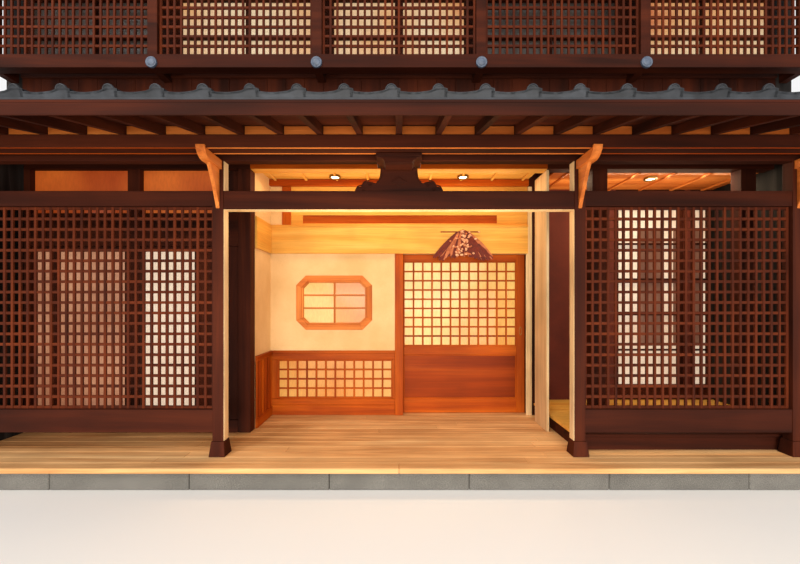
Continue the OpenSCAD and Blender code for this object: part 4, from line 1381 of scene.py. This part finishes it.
@dataclass
class HangingBundle(Assembly):
    """A spread of dry leaves bound to a thin stick, hung on the board over the door."""

    middle: float = 0.707
    top: float = 2.224
    stick: float = 0.220
    leaves: int = 90
    curls: int = 64
    lean: float = 0.74
    spread: float = 0.070
    thick: float = 0.0012
    knots: Flat = (-0.012, 0.012)
    leaf_turn: Flat = (-0.05, 0.05)
    leaf_length: Flat = (0.285, 0.395)
    leaf_share: Flat = (0.86, 1.04)
    leaf_half: Flat = (0.016, 0.026)
    pale_share: float = 0.15
    curl_size: Flat = (0.8, 1.7)
    crease: float = 50.0
    dice: random.Random = field(default_factory=lambda: random.Random(5))

    def build(self) -> None:
        """Builds the stick, the leaves, the small curled ones on them and the knots."""
        dice, middle, top = self.dice, self.middle, self.top
        face = span("fascia_boards")[1].y - 0.020 - 0.007
        bundle = Build("hanging_bundle", self.palette["dry_leaf"], self.palette["straw_cord"],
                       self.palette["dark_leaf"])
        end = self.stick
        stick = turned([(0.0, -end), (0.006, 0.003 - end), (0.006, end - 0.003), (0.0, end)], 8)
        bundle.add(stick, 2, at(middle - 0.03, face - 0.012, top, math.pi / 2, Y))
        for i in range(self.leaves):
            swing = (i / (self.leaves - 1) - 0.5) * 2
            angle = swing * self.lean + dice.uniform(*self.leaf_turn)
            short, long = self.leaf_length
            length = (short + (long - short) * abs(swing) ** 1.4) * dice.uniform(*self.leaf_share)
            layer = face - 0.004 - 0.012 * dice.random() * (1 - 0.5 * abs(swing))
            leaf = self.leaf(length, dice.uniform(*self.leaf_half))
            z = top + 0.026 - 0.03 * abs(swing)
            place = at(middle - self.spread * swing, layer, z, angle, Y)
            bundle.add(leaf, 0 if dice.random() < self.pale_share else 2, place)
        curl = [(0.0, -0.013), (0.008, -0.009), (0.011, 0.0), (0.008, 0.010), (0.0, 0.013)]
        for i in range(self.curls):
            x, z = dice.gauss(0.015, 0.060), dice.uniform(-0.27, 0.01)
            size = Matrix.Scale(dice.uniform(*self.curl_size), 4, (0.0, 0.0, 1.0))
            place = at(middle + x, face - 0.018, top + z, dice.uniform(0, 3))
            bundle.add(turned(curl, 10), (1, 0, 1)[i % 3],
                       place @ Matrix.Rotation(dice.uniform(0, 3), 4, "Y") @ size)
        knot = [(0.010, -0.004), (0.017, -0.003), (0.018, 0.0), (0.017, 0.003), (0.010, 0.004)]
        for z in self.knots:
            bundle.add(turned(knot, 12), 1, at(middle, face - 0.012, top + z))
        bundle.done(Slot.PALE, smooth=self.crease)

    def leaf(self, length: float, width: float) -> Mesh:
        """A long dry leaf that hangs down from the origin.

        Args:
            length: Its length.
            width: Its widest half.

        Returns:
            The mesh.
        """
        piece = bmesh.new()
        curl = self.dice.uniform(-0.008, 0.0)
        bmesh.ops.create_grid(piece, x_segments=2, y_segments=6, size=1.0)
        for vert in piece.verts:
            across, t = vert.co.x, (1.0 - vert.co.y) / 2
            half = width * (0.25 + math.sin(math.pi * min(t, 0.98)) * 0.75)
            vert.co = (across * half, curl * t * t - 0.0025 * (1.0 - abs(across)), -t * length)
        bmesh.ops.solidify(piece, geom=piece.faces[:], thickness=self.thick)
        bmesh.ops.recalc_face_normals(piece, faces=piece.faces)
        return piece


@dataclass
class SlidingDoor(Assembly):
    """The moving entrance door: framed, with a fine lattice over a plain panel."""

    middle_rail: float = 0.100
    foot_rail: float = 0.160
    rail_inset: float = 0.0012
    columns: int = 12
    rows: int = 9
    bar: float = 0.018
    lap: float = 0.002
    bead: float = 0.011
    pull_inset: float = 0.048
    pull_z: float = 1.12
    pull_stretch: float = 2.9
    pull_steps: int = 28
    crease: float = 35.0

    def build(self) -> None:
        """Builds the frame, the lattice, the panel with its beads, and the pulls."""
        low, high = span("entrance_door")
        pane_low, pane_high = span("door_glass")
        x0, x1, mid, top = pane_low.x, pane_high.x, pane_low.z, pane_high.z
        mid_low, foot = mid - self.middle_rail, low.z + self.foot_rail
        wood, inset = self.palette.door, self.rail_inset
        door = Build("sliding_door", wood.along(Z), wood.along(X), self.palette.panel.along(X))
        door.board(low, (x0, high.y, high.z), SOFT)
        door.board((x1, low.y, low.z), high, SOFT)
        for z0, z1 in ((low.z, foot), (mid_low, mid), (top, high.z)):
            door.board((x0, low.y + inset, z0), (x1, high.y - inset, z1), EASED, 1)
        lap = self.lap
        bars = ((X, 0.004, 0.020, self.columns, 0), (Z, 0.007, 0.0235, self.rows, 1))
        for axis, front, back, count, finish in bars:
            y0, y1 = low.y + front, low.y + back
            door.row(axis, (x0 - lap, y0, mid - lap), (x1 + lap, y1, top + lap), self.bar, count,
                     (1, 1), finish=finish)
        self.beads(door, (x0, mid), (x1, top), low.y + 0.003, low.y + 0.024)
        self.beads(door, (x0, foot), (x1, mid_low), low.y + 0.004, high.y - 0.004)
        door.board((x0 + 0.010, low.y + 0.011, foot + 0.010),
                   (x1 - 0.010, high.y - 0.013, mid_low - 0.010), SHARP, 2)
        door.done(Slot.DOOR, "entrance_door", body=Body.DOOR)
        self.pulls()

    def beads(self, door: Build, low: Flat, high: Flat, front: float, back: float) -> None:
        """A bead round an opening.

        Args:
            door: Where the bead goes.
            low: The opening's lower left corner.
            high: Its upper right corner.
            front: The bead's front face.
            back: Its back face.
        """
        wide = self.bead
        for x in (low[0], high[0] - wide):
            door.board((x, front, low[1]), (x + wide, back, high[1]), EASED)
        for z in (low[1], high[1] - wide):
            door.board((low[0] + wide, front, z), (high[0] - wide, back, z + wide), EASED, 1)

    def pulls(self) -> None:
        """An oval finger pull let into each face of the closing stile."""
        low, high = span("entrance_door")
        pulls = Build("door_pulls", self.palette["aged_brass"])
        rim = [(0.0, 0.0012), (0.010, 0.0012), (0.0125, 0.0004), (0.0135, -0.0006),
               (0.0150, -0.0010), (0.0165, -0.0006), (0.0170, 0.0015), (0.0, 0.0015)]
        stretch = Matrix.Diagonal((1.0, self.pull_stretch, 1.0, 1.0))
        for face, turn in ((low.y, -1), (high.y, 1)):
            place = at(high.x - self.pull_inset, face, self.pull_z, turn * math.pi / 2)
            pulls.add(turned(rim, self.pull_steps), 0, place @ stretch)
        pulls.done(Slot.CAP, body=Body.DOOR, smooth=self.crease)


class Tone(Enum):
    """How bright the room behind a street window looks, and what shows where there is none."""

    BRIGHT = 0
    DIM = 1
    ROSE = 2
    ORANGE = 3
    WOOD = 4


@dataclass
class Glazing(Assembly):
    """Paper screens in front of the street windows' glass, and a strip over the middle one."""

    back: float = 0.0005
    front: float = 0.0025
    porch_depth: float = 0.9
    entrance_half: float = 1.45
    transom_h: float = 0.5
    rose_edge: float = -3.0
    plain_edge: float = -2.0
    orange_edge: float = -1.69
    frame_foot: float = 0.24
    frame_head: float = 0.87
    strip_half: float = 0.040

    def build(self) -> None:
        """Builds the screens and the cover strip."""
        wood = self.palette
        reach = span("recess_left_wall")[0].y + self.porch_depth
        sheets = Build("window_screens", wood["bright_pane"], wood["dim_pane"], wood["rose_pane"],
                       wood["orange_pane"], wood.dark.along(Z))
        for low, high in self.loose_boxes("ground_window_glass"):
            if low.y > reach or abs(low.x + high.x) < 2 * self.entrance_half:
                continue
            for x0, x1, z0, z1, tone in self.bands(low, high):
                wide = high.x - low.x
                sheets.board((low.x + x0 * wide, low.y - self.front, z0),
                             (low.x + x1 * wide, low.y - self.back, z1), SHARP, tone.value)
        sheets.done(Slot.GLASS)
        low, high = span("upper_window_frames")
        strip = Build("meeting_strip", wood.dark.along(Z))
        strip.board((-self.strip_half, low.y - 0.006, low.z + 0.002),
                    (self.strip_half, low.y - SLIT, high.z - 0.002))
        strip.done(Slot.DARK)

    def bands(self, low: Vector, high: Vector) -> list[tuple[float, float, float, float, Tone]]:
        """The parts of one pane that differ in brightness.

        Args:
            low: The pane's lowest corner.
            high: Its highest corner.

        Returns:
            For each part its start and end as shares of the width, its foot and head, and its tone.
        """
        tall = high.z - low.z
        if low.x > 0:
            foot, head = low.z + self.frame_foot * tall, low.z + self.frame_head * tall
            bands = [(0.0, 1.0, low.z, foot, Tone.BRIGHT), (0.0, 1.0, head, high.z, Tone.BRIGHT)]
            return bands + [(x0, x1, foot, head, tone) for x0, x1, tone in (
                (0.0, 0.36, Tone.BRIGHT), (0.36, 0.74, Tone.DIM), (0.74, 0.88, Tone.BRIGHT),
                (0.88, 1.0, Tone.DIM))]
        if tall >= self.transom_h:
            return [(0.0, 1.0, low.z, high.z, Tone.ROSE if low.x < self.rose_edge else Tone.BRIGHT)]
        if high.x <= self.plain_edge:
            return [(0.0, 1.0, low.z, high.z, Tone.ORANGE)]
        share = (self.orange_edge - low.x) / (high.x - low.x)
        return [(0.0, share, low.z, high.z, Tone.ORANGE), (share, 1.0, low.z, high.z, Tone.WOOD)]

    def loose_boxes(self, node: str) -> list[tuple[Vector, Vector]]:
        """The lowest and highest corner of each loose piece of a node's mesh.

        Args:
            node: The CAD node.

        Returns:
            A pair of corners for each piece.
        """
        item, mesh = self.nodes[node], bmesh.new()
        mesh.from_mesh(item.data)
        mesh.transform(item.matrix_world)
        bmesh.ops.remove_doubles(mesh, verts=mesh.verts, dist=1e-5)
        left, boxes = set(mesh.verts), []
        while left:
            queue, piece = [left.pop()], []
            while queue:
                vert = queue.pop()
                piece.append(vert.co.copy())
                ahead = {edge.other_vert(vert) for edge in vert.link_edges} & left
                left -= ahead
                queue += ahead
            boxes.append((Vector([min(axis) for axis in zip(*piece)]),
                          Vector([max(axis) for axis in zip(*piece)])))
        mesh.free()
        return sorted(boxes, key=lambda box: tuple(box[0]))


@dataclass
class BeamCaps(Assembly):
    """Domed metal covers on the ends of the arms under the upper lattice."""

    count: int = 6
    steps: int = 36
    crease: float = 40.0
    dome: Point = (0.70, 0.72, 0.28)
    rim: Sequence[Flat] = ((0.84, 0.70), (0.90, 0.78), (0.97, 0.74), (1.0, 0.62), (1.0, 0.0),
                           (0.0, 0.0))

    def build(self) -> None:
        """Builds a cap at each lattice post."""
        low, high = span("beam_caps")
        radius, depth, middle = (high.z - low.z) / 2, high.y - low.y, (high.z + low.z) / 2
        step = (high.x - low.x - 2 * radius) / (self.count - 1)
        wide, base, bulge = self.dome
        profile = [(radius * wide * s, depth * (base + bulge * c)) for c, s in arc(0, 90, 15)]
        profile += [(radius * r, depth * d) for r, d in self.rim]
        caps = Build("domed_caps", self.palette["cap_paint"])
        for i in range(self.count):
            caps.add(turned(profile, self.steps), 0,
                     at(low.x + radius + i * step, high.y, middle, math.pi / 2))
        caps.done(Slot.CAP, "beam_caps", smooth=self.crease)


@dataclass
class Cladding(Assembly):
    """Weather boards on the party walls, the rear wall and the upper front wall."""

    roof_slope: float = 0.45
    porch_top: float = 2.97225
    porch_slope: float = 0.25
    porch_lift: float = 0.24
    split: float = 3.02
    seam_half: float = 0.03
    side_boards: int = 33
    side_t: float = 0.016
    side_gap: float = 0.003
    drip_t: float = 0.026
    drip_half: float = 0.028
    lap_t: float = 0.018
    battens: int = 11
    batten: float = 0.036
    batten_inset: float = 0.002
    rear_sill: float = 0.99
    rear_bands: tuple[Band, ...] = ((1.9873, 3.05, 6), (3.05, 3.61, 3), (4.79, 5.20, 2))
    front_boards: int = 40
    front_t: float = 0.012
    front_sill: float = 3.60
    front_head: Flat = (4.80, 5.28)
    sills: tuple[Point, ...] = ((3.595, 3.695, 0.030), (4.775, 4.805, 0.026))

    def __post_init__(self) -> None:
        """Takes the walls' places from the frame."""
        self.low, self.high = span("party_walls")
        ridge = span("roof_ridge")
        self.ridge_y = (ridge[0].y + ridge[1].y) / 2
        self.wall_y = span("main_posts")[0].y

    def build(self) -> None:
        """Builds the boards on every outer wall."""
        self.sides()
        self.rear()
        self.upper_front()

    def roof(self, y: float) -> float:
        """The height of a party wall's boards.

        Args:
            y: The depth.

        Returns:
            The height there.
        """
        if y < self.wall_y:
            return self.porch_top + self.porch_slope * (y - self.wall_y) - 0.002
        return self.high.z - self.roof_slope * abs(y - self.ridge_y) - 0.002

    def sides(self) -> None:
        """Upright charred boards in two lifts, with a drip board between them."""
        wood, wall, split = self.palette.cladding, self.wall_y, self.split
        boards = Build("party_wall_boards", wood.along(Z), wood.along(Y))
        lift = wall - self.porch_lift
        rows = [(self.low.y, lift), (lift, wall), *divided(wall, self.high.y, self.side_boards)]
        for x, side in ((self.low.x, -1), (self.high.x, 1)):
            near, far = sorted((x, x + side * self.side_t))
            for y0, y1 in rows:
                y0, y1 = y0 + self.side_gap / 2, y1 - self.side_gap / 2
                left, right = self.roof(y0), self.roof(y1)
                seam = split - self.seam_half
                boards.add(prism([(y0, self.low.z), (y1, self.low.z), (y1, min(seam, right)),
                                  (y0, min(seam, left))], X, near, far, EASED))
                if min(left, right) > split + 0.05:
                    foot = split + self.seam_half
                    outline = [(y0, foot), (y1, foot), (y1, right), (y0, left)]
                    if y0 < self.ridge_y < y1:
                        outline.insert(3, (self.ridge_y, self.roof(self.ridge_y)))
                    boards.add(prism(outline, X, near, far, EASED))
            near, far = sorted((x, x + side * self.drip_t))
            boards.board((near, wall, split - self.drip_half),
                         (far, self.high.y, split + self.drip_half), ROUND, 1)
        boards.done(Slot.CLADDING)

    def rear(self) -> None:
        """Lapped boards on the rear wall with upright battens, and a rail at each window."""
        low, high = span("rear_wall")
        boards = Build("rear_wall_boards", self.palette.dark.along(X), self.palette.dark.along(Z))
        x0, x1, y, inset = low.x + HAIR, high.x - HAIR, high.y, self.batten_inset
        for foot, head, rows in ((low.z, self.rear_sill, 5), *self.rear_bands):
            for z0, z1 in divided(foot, head, rows):
                boards.add(prism([(y, z0), (y + self.lap_t, z0), (y + self.lap_t, z0 + 0.004),
                                  (y + 0.007, z1), (y, z1)], X, x0, x1, FINE))
            boards.row(X, (x0 + inset, y + 0.004, foot), (x1 - inset, y + 0.030, head),
                       self.batten, self.battens - 1, edge=SOFT, finish=1)
            boards.board((x0, y, head - 0.028), (x1, y + 0.040, head), ROUND)
        boards.done(Slot.DARK)

    def upper_front(self) -> None:
        """Upright boards under and over the upper windows, and the rails that edge them."""
        low, high = span("upper_front_wall")
        wood = self.palette.dark
        boards = Build("upper_wall_boards", wood.along(Z), wood.along(X))
        for foot, head in ((low.z, self.front_sill), self.front_head):
            boards.split(X, (low.x, low.y - self.front_t, foot), (high.x, low.y, head),
                         self.front_boards, (0.001, 0.0015))
        for foot, head, thick in self.sills:
            boards.board((low.x, low.y - thick, foot), (high.x, low.y, head), ROUND, 1)
        boards.done(Slot.DARK)


@dataclass(frozen=True)
class RoofPlane:
    """One sloping bed of tiles, from its eave edge up to its top.

    Attributes:
        name: What it is called.
        edge_y: The eave edge.
        top_y: The upper edge.
        edge_z: Height of the tile layer's underside at the eave edge.
        slope: Its rise for each metre of run.
    """

    name: str
    edge_y: float
    top_y: float
    edge_z: float
    slope: float

    @property
    def side(self) -> int:
        """1 where the plane rises to the back, -1 where it rises to the street."""
        return 1 if self.top_y > self.edge_y else -1

    @property
    def run(self) -> float:
        """Its level depth."""
        return abs(self.top_y - self.edge_y)

    @property
    def pitch(self) -> float:
        """Its angle in radians."""
        return math.atan(self.slope)

    def place(self, x: float, up: float, lift: float) -> Matrix:
        """A place on the plane, with a piece's Y axis running up the slope.

        Args:
            x: Its place across.
            up: Its distance from the eave edge along the slope.
            lift: Its height over the layer's underside.

        Returns:
            The place.
        """
        run = up * math.cos(self.pitch)
        turn = 0.0 if self.side > 0 else math.pi
        y, z = self.edge_y + self.side * run, self.edge_z + self.slope * run + lift
        return (at(x, y, z, turn, Z) @ Matrix.Rotation(self.pitch, 4, "X"))


@dataclass
class TileRoof(Assembly):
    """Pan tiles with a roll, laid in columns from eave to ridge, with verges and a ridge."""

    layer: float = 0.062
    porch_slope: float = 0.25
    slope: float = 0.45
    slit: float = 0.010
    columns: int = 28
    course: float = 0.235
    margin: float = 0.012
    bed: float = 0.012
    roll: float = 0.026
    pan_share: float = 0.66
    tile_t: float = 0.013
    side_lap: float = 0.020
    end_lap: float = 0.045
    drop: float = 0.016
    eave_start: float = 0.030
    lip: float = 0.034
    lip_t: float = 0.012
    verge: Flat = (0.036, 0.027)
    verge_length: float = 0.26
    verge_start: float = 0.014
    verge_inset: float = 0.037
    flashing_pieces: int = 26
    ridge_courses: int = 4
    ridge_pieces: int = 26
    ridge_radius: float = 0.066
    shield_t: float = 0.028
    section_steps: int = 14
    pan_depth: float = 0.34
    roll_turn: float = 0.80
    disc: Sequence[Flat] = ((0.0, 0.011), (0.017, 0.011), (0.021, 0.007), (0.026, 0.007),
                            (0.030, 0.011), (0.034, 0.009), (0.036, 0.004), (0.036, -0.002),
                            (0.0, -0.002))
    disc_steps: int = 20
    crease: float = 38.0

    def __post_init__(self) -> None:
        """Measures the roof planes on the frame."""
        self.slate = self.palette["smoked_tile"]
        low, high = span("roof_tiles")
        self.half = high.x
        self.ridge = span("roof_ridge")
        self.wall_y = span("main_posts")[0].y
        self.middle = (self.ridge[0].y + self.ridge[1].y) / 2
        reach = high.y - self.middle
        under = high.z - self.layer - self.slope * (reach - self.slit)
        self.planes = [
            RoofPlane("eave_tiles", low.y, self.wall_y, low.z, self.porch_slope),
            RoofPlane("front_tiles", self.middle - reach, self.middle - self.slit, under,
                      self.slope),
            RoofPlane("rear_tiles", high.y, self.middle + self.slit, under, self.slope),
        ]

    def build(self) -> None:
        """Covers every plane and the ridge."""
        for plane in self.planes:
            self.lay(plane)
        self.verges()
        self.flashing()
        self.ridge_stack()

    def tile(self, width: float, length: float, first: bool) -> Mesh:
        """One tile: a shallow pan that turns up into a roll on its right side.

        Args:
            width: Column pitch.
            length: Its length on the slope.
            first: Whether it has the turned-down eave lip and the round end.

        Returns:
            The mesh, with its lower left corner at the origin, along +Y.
        """
        steps, pan, deep, section = self.section_steps, self.pan_share, self.pan_depth, []
        for t in (i / steps for i in range(steps + 1)):
            if t < pan:
                z = self.roll * (deep - deep * math.sin(math.pi * min(1.0, t / pan)))
            else:
                turn = math.pi * (t - pan) / (1 - pan) * self.roll_turn
                z = self.roll * (deep + (1 - deep) * math.sin(turn))
            section.append((t * (width + self.side_lap), z))
        piece = prism(section + [(x, z - self.tile_t) for x, z in reversed(section)], Y, 0.0,
                      length)
        for vert in piece.verts:
            vert.co.z += self.drop * (1.0 - vert.co.y / length)
        if first:
            body = [(x, z + self.drop) for x, z in section]
            body += [(x, -self.lip) for x, _ in reversed(body)]
            disc = turned(self.disc, self.disc_steps)
            disc.transform(at(width * 0.88, 0.012, self.drop + 0.012, math.pi / 2))
            holder = bpy.data.meshes.new("holder")
            for part in (prism(body, Y, 0.0, self.lip_t, FINE), disc):
                part.to_mesh(holder)
                part.free()
                piece.from_mesh(holder)
            bpy.data.meshes.remove(holder)
        return piece

    def lay(self, plane: RoofPlane) -> None:
        """Lays one plane: its eave course, its plain courses and the bed under them.

        Args:
            plane: The plane to cover.
        """
        length = plane.run / math.cos(plane.pitch)
        width = 2 * (self.half - self.margin) / self.columns
        courses = max(3, round(length / self.course))
        step = length / courses
        roof = Build(plane.name, self.slate)
        lift = self.bed + self.tile_t / math.cos(plane.pitch)
        for course in range(courses):
            inset = 0.0 if course else self.eave_start
            start = course * step + inset
            tile = self.tile(width, min(step + self.end_lap - inset, length - start), not course)
            roof.add(tile, 0, *(plane.place(plane.side * (i * width - self.half), start, lift)
                                for i in range(self.columns)))
        near, far = plane.edge_y + plane.side * self.eave_start, plane.top_y
        under = plane.edge_z + HAIR
        foot, top = under + plane.slope * self.eave_start, under + plane.slope * plane.run
        roof.add(prism([(near, foot), (far, top), (far, top + self.bed), (near, foot + self.bed)],
                       X, self.margin - self.half, self.half - self.margin))
        replaced = ("roof_tiles",) if plane is self.planes[0] else ()
        roof.done(Slot.TILE, *replaced, smooth=self.crease)

    def verges(self) -> None:
        """A row of half-round tiles along each gable edge."""
        verge = Build("verge_tiles", self.slate)
        wide, tall = self.verge
        shape = [(wide * c, tall * s) for c, s in arc(0, 180, 20)]
        shape += [(-0.030, -0.004), (0.030, -0.004)]
        for plane in self.planes:
            length = plane.run / math.cos(plane.pitch) - self.verge_start
            count = max(3, round(length / self.verge_length))
            step = length / count
            verge.add(prism(shape, Y, 0.0, step - 0.003, CRISP), 0,
                      *(plane.place(x, i * step + self.verge_start, self.layer - 0.032)
                        for x in (self.verge_inset - self.half, self.half - self.verge_inset)
                        for i in range(count)))
        verge.done(Slot.TILE, smooth=self.crease)

    def flashing(self) -> None:
        """A strip of flat tile along the wall, over the porch roof's top course."""
        wall, high = self.wall_y, span("upper_floor")[1]
        strip = Build("wall_flashing", self.slate)
        outline = [(wall - 0.056, high.z - 0.030), (wall - HAIR, high.z - 0.030),
                   (wall - HAIR, high.z + 0.036), (wall - 0.044, high.z + 0.020),
                   (wall - 0.056, high.z + 0.010)]
        for x0, x1 in divided(0.002 - high.x, high.x - 0.002, self.flashing_pieces):
            strip.add(prism(outline, X, x0 + HAIR, x1 - HAIR, CRISP))
        strip.done(Slot.TILE, smooth=self.crease)

    def ridge_stack(self) -> None:
        """The ridge: flat courses in a stack, round caps over them and a shield at each end."""
        low, high = self.ridge
        middle, half, base = self.middle, (high.y - low.y) / 2, span("roof_tiles")[1].z
        rise, count = high.z - base, self.ridge_pieces
        stack = Build("ridge_stack", self.slate)
        seat = low.z + 0.004
        core = [(middle - half * 0.9, seat), (middle, base - 0.064), (middle + half * 0.9, seat),
                (middle + half * 0.72, base + 0.60 * rise),
                (middle - half * 0.72, base + 0.60 * rise)]
        stack.add(prism(core, X, low.x + 0.03, high.x - 0.03))
        for course in range(self.ridge_courses):
            foot, reach = base - 0.004 + course * 0.16 * rise, half * (1.0 - 0.055 * course)
            outline = [(middle + side * (reach - inset), foot + lift) for side, inset, lift in (
                (-1, 0.0, 0.0), (1, 0.0, 0.0), (1, 0.0, 0.018), (1, 0.012, 0.024),
                (-1, 0.012, 0.024), (-1, 0.0, 0.018))]
            odd = course % 2
            shift = odd * high.x / count
            for x0, x1 in divided(low.x - shift, high.x + shift, count + odd):
                stack.add(prism(outline, X, max(low.x, x0) + HAIR, min(high.x, x1) - HAIR, CRISP))
        radius, steps = self.ridge_radius, arc(0, 180, 15)
        seat = high.z - radius * 0.9 - 0.004
        cap = [(middle + radius * c, seat + radius * 0.9 * s) for c, s in steps]
        cap += [(middle - radius * 0.92, seat - 0.012), (middle + radius * 0.92, seat - 0.012)]
        collar = [(middle + (radius + 0.004) * c, seat + (radius * 0.9 + 0.004) * s)
                  for c, s in steps]
        for x0, x1 in divided(low.x, high.x, count):
            stack.add(prism(cap, X, x0 + 0.012, x1, HAIR))
            stack.add(prism(collar, X, x0 + SLIT, x0 + 0.016, HAIR))
        shield = [(middle + half * w, base + rise * h) for w, h in
                  ((-0.96, -0.20), (0.0, -0.02), (0.96, -0.20), (0.98, 0.10), (0.80, 0.45),
                   (0.62, 0.78), (0.35, 0.95), (0.0, 0.99), (-0.35, 0.95), (-0.62, 0.78),
                   (-0.80, 0.45), (-0.98, 0.10))]
        for x in (low.x, high.x - self.shield_t):
            stack.add(prism(shield, X, x, x + self.shield_t, ROUND))
        stack.done(Slot.TILE, "roof_ridge", smooth=self.crease)


class LampKind(Enum):
    """The kinds of lamp in the studio."""

    SUN = "SUN"
    AREA = "AREA"


@dataclass(frozen=True)
class Lamp:
    """One lamp: its place is across, from the wall and up, its turn is in degrees."""

    name: str
    kind: LampKind
    energy: float
    colour: Colour
    place: Point
    turn: Point
    size: Flat

    def hang(self, wall: float) -> bpy.types.Object:
        """Makes the lamp.

        Args:
            wall: The place of the wall over the porch roof.

        Returns:
            The lamp, in the scene.
        """
        data = bpy.data.lights.new(self.name, self.kind.value)
        data.energy, data.color = self.energy, self.colour
        if self.kind is LampKind.SUN:
            data.angle = self.size[0]
        else:
            data.shape = "RECTANGLE"
            data.size, data.size_y = self.size
        made = placed(self.name, data)
        made.location = (self.place[0], wall + self.place[1], self.place[2])
        made.rotation_euler = [math.radians(angle) for angle in self.turn]
        return made


@dataclass
class Studio(Assembly):
    """Camera, lamps, floor and backdrop at the photograph's angle."""

    lens: float = 17.3
    sensor: float = 36.0
    shift: Flat = (0.00125, 0.026)
    distance: float = 3.134
    eye: float = 1.4413
    backdrop: float = 0.75
    paper: float = 0.93
    floor_size: float = 60.0
    warm: Colour = (1.0, 0.80, 0.52)

    def build(self) -> None:
        """Sets up the picture and keeps its parts out of the model."""
        self.world()
        self.camera()
        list(self.lamps())
        self.floor()
        bpy.context.scene.view_settings.view_transform = "Standard"

    def camera(self) -> bpy.types.Object:
        """Sets up a one-point view from the street at sitting height.

        Returns:
            The camera.
        """
        data = bpy.data.cameras.new("street_view")
        data.lens, data.sensor_width = self.lens, self.sensor
        data.shift_x, data.shift_y = self.shift
        data.clip_start, data.clip_end = 0.05, 200.0
        view = placed("street_view", data)
        view.location = (0.0, span("front_posts")[0].y - self.distance, self.eye)
        view.rotation_euler = (math.pi / 2, 0.0, 0.0)
        bpy.context.scene.camera = view
        return view

    def lamps(self) -> list[bpy.types.Object]:
        """Hangs soft light from the front, a low fill for the recess and the house's own lamps.

        Returns:
            The lamps.
        """
        wall, sun, area = span("main_posts")[0].y, LampKind.SUN, LampKind.AREA
        ahead, aside, flat = (78.0, 0.0, 0.0), (48.0, 0.0, -32.0), (90.0, 0.0, 0.0)
        down, up, level = (-16.0, 0.0, 0.0), (172.0, 0.0, 0.0), (180.0, 0.0, 0.0)
        return [lamp.hang(wall) for lamp in (
            Lamp("front_fill", sun, 1.5, (1.0, 0.93, 0.84), (0.0, -6.0, 3.0), ahead, (0.5, 0.0)),
            Lamp("side_key", sun, 1.1, (1.0, 0.98, 0.95), (-5.0, -5.0, 9.0), aside, (0.25, 0.0)),
            Lamp("low_fill", area, 260.0, (1.0, 0.90, 0.76), (0.0, -6.2, 1.0), flat, (7.0, 1.6)),
            Lamp("recess_glow", area, 15.0, self.warm, (0.0, 0.30, 2.72), down, (2.5, 0.25)),
            Lamp("platform_glow", area, 28.0, self.warm, (2.6, 0.30, 2.72), down, (1.8, 0.25)),
            Lamp("recess_wash", area, 5.0, self.warm, (0.0, 0.30, 2.42), up, (2.4, 0.20)),
            Lamp("porch_wash", area, 13.0, self.warm, (0.0, -0.62, 1.75), level, (2.2, 0.40)),
            Lamp("platform_wash", area, 5.0, self.warm, (2.5, 0.40, 2.42), up, (1.8, 0.20)),
        )]

    def world(self) -> None:
        """A white backdrop, a little dimmer for the camera and for reflections than as a light."""
        world = bpy.data.worlds.new("studio")
        world.use_nodes = True
        tree = world.node_tree
        sky = next(n for n in tree.nodes if n.type == "BACKGROUND")
        out = next(n for n in tree.nodes if n.type == "OUTPUT_WORLD")
        paper = tree.nodes.new("ShaderNodeBackground")
        for node, grey, strength in ((sky, 1.0, self.backdrop), (paper, self.paper, 1.0)):
            node.inputs["Color"].default_value = (grey, grey, grey, 1.0)
            node.inputs["Strength"].default_value = strength
        path = tree.nodes.new("ShaderNodeLightPath")
        choice = tree.nodes.new("ShaderNodeMixShader")
        seen = path.outputs["Is Camera Ray"]
        for ray in ("Is Glossy Ray", "Is Transmission Ray"):
            total = tree.nodes.new("ShaderNodeMath")
            total.operation, total.use_clamp = "ADD", True
            tree.links.new(seen, total.inputs[0])
            tree.links.new(path.outputs[ray], total.inputs[1])
            seen = total.outputs[0]
        for i, source in enumerate((seen, sky.outputs[0], paper.outputs[0])):
            tree.links.new(source, choice.inputs[i])
        tree.links.new(choice.outputs[0], out.inputs["Surface"])
        bpy.context.scene.world = world

    def floor(self) -> bpy.types.Object:
        """Lays a pale floor that belongs to the picture only.

        Returns:
            The floor.
        """
        piece = bmesh.new()
        bmesh.ops.create_grid(piece, x_segments=1, y_segments=1, size=self.floor_size)
        mesh = bpy.data.meshes.new("studio_floor")
        piece.to_mesh(mesh)
        piece.free()
        bench = Bench("studio_floor")
        bench.shader.inputs["Base Color"].default_value = (0.82, 0.81, 0.79, 1.0)
        bench.shader.inputs["Roughness"].default_value = 0.9
        mesh.materials.append(bench.material)
        made = placed("studio_floor", mesh)
        made.location.z = -0.001
        return made


STREET_COLUMNS = {"left_outer": 17, "left_inner": 16, "right_inner": 26, "right_outer": 5}
STREET_ROWS, UPPER_COLUMNS, UPPER_ROWS, UPPER_BAYS = 19, 22, 12, 5


def main() -> None:
    """Builds and dresses the house."""
    logging.basicConfig(level=logging.INFO, format="%(name)s: %(message)s")
    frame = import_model()
    palette, nodes = Palette(), frame["nodes"]
    pieces = [Carcass(palette, nodes), Decking(palette, nodes)]
    pieces += [LatticeScreen(palette, nodes, f"lattice_{side}", columns, STREET_ROWS,
                             shared=side == "left_inner")
               for side, columns in STREET_COLUMNS.items()]
    pieces += [LatticeScreen(palette, nodes, f"upper_lattice_{bay + 1}", UPPER_COLUMNS, UPPER_ROWS)
               for bay in range(UPPER_BAYS)]
    pieces += [kind(palette, nodes) for kind in (
        CarvedStrut, EaveWork, EntranceRecess, HangingBundle, SlidingDoor, Glazing, BeamCaps,
        Cladding,
        TileRoof, Studio)]
    for piece in pieces:
        piece.build()


if __name__ == "__main__":
    main()
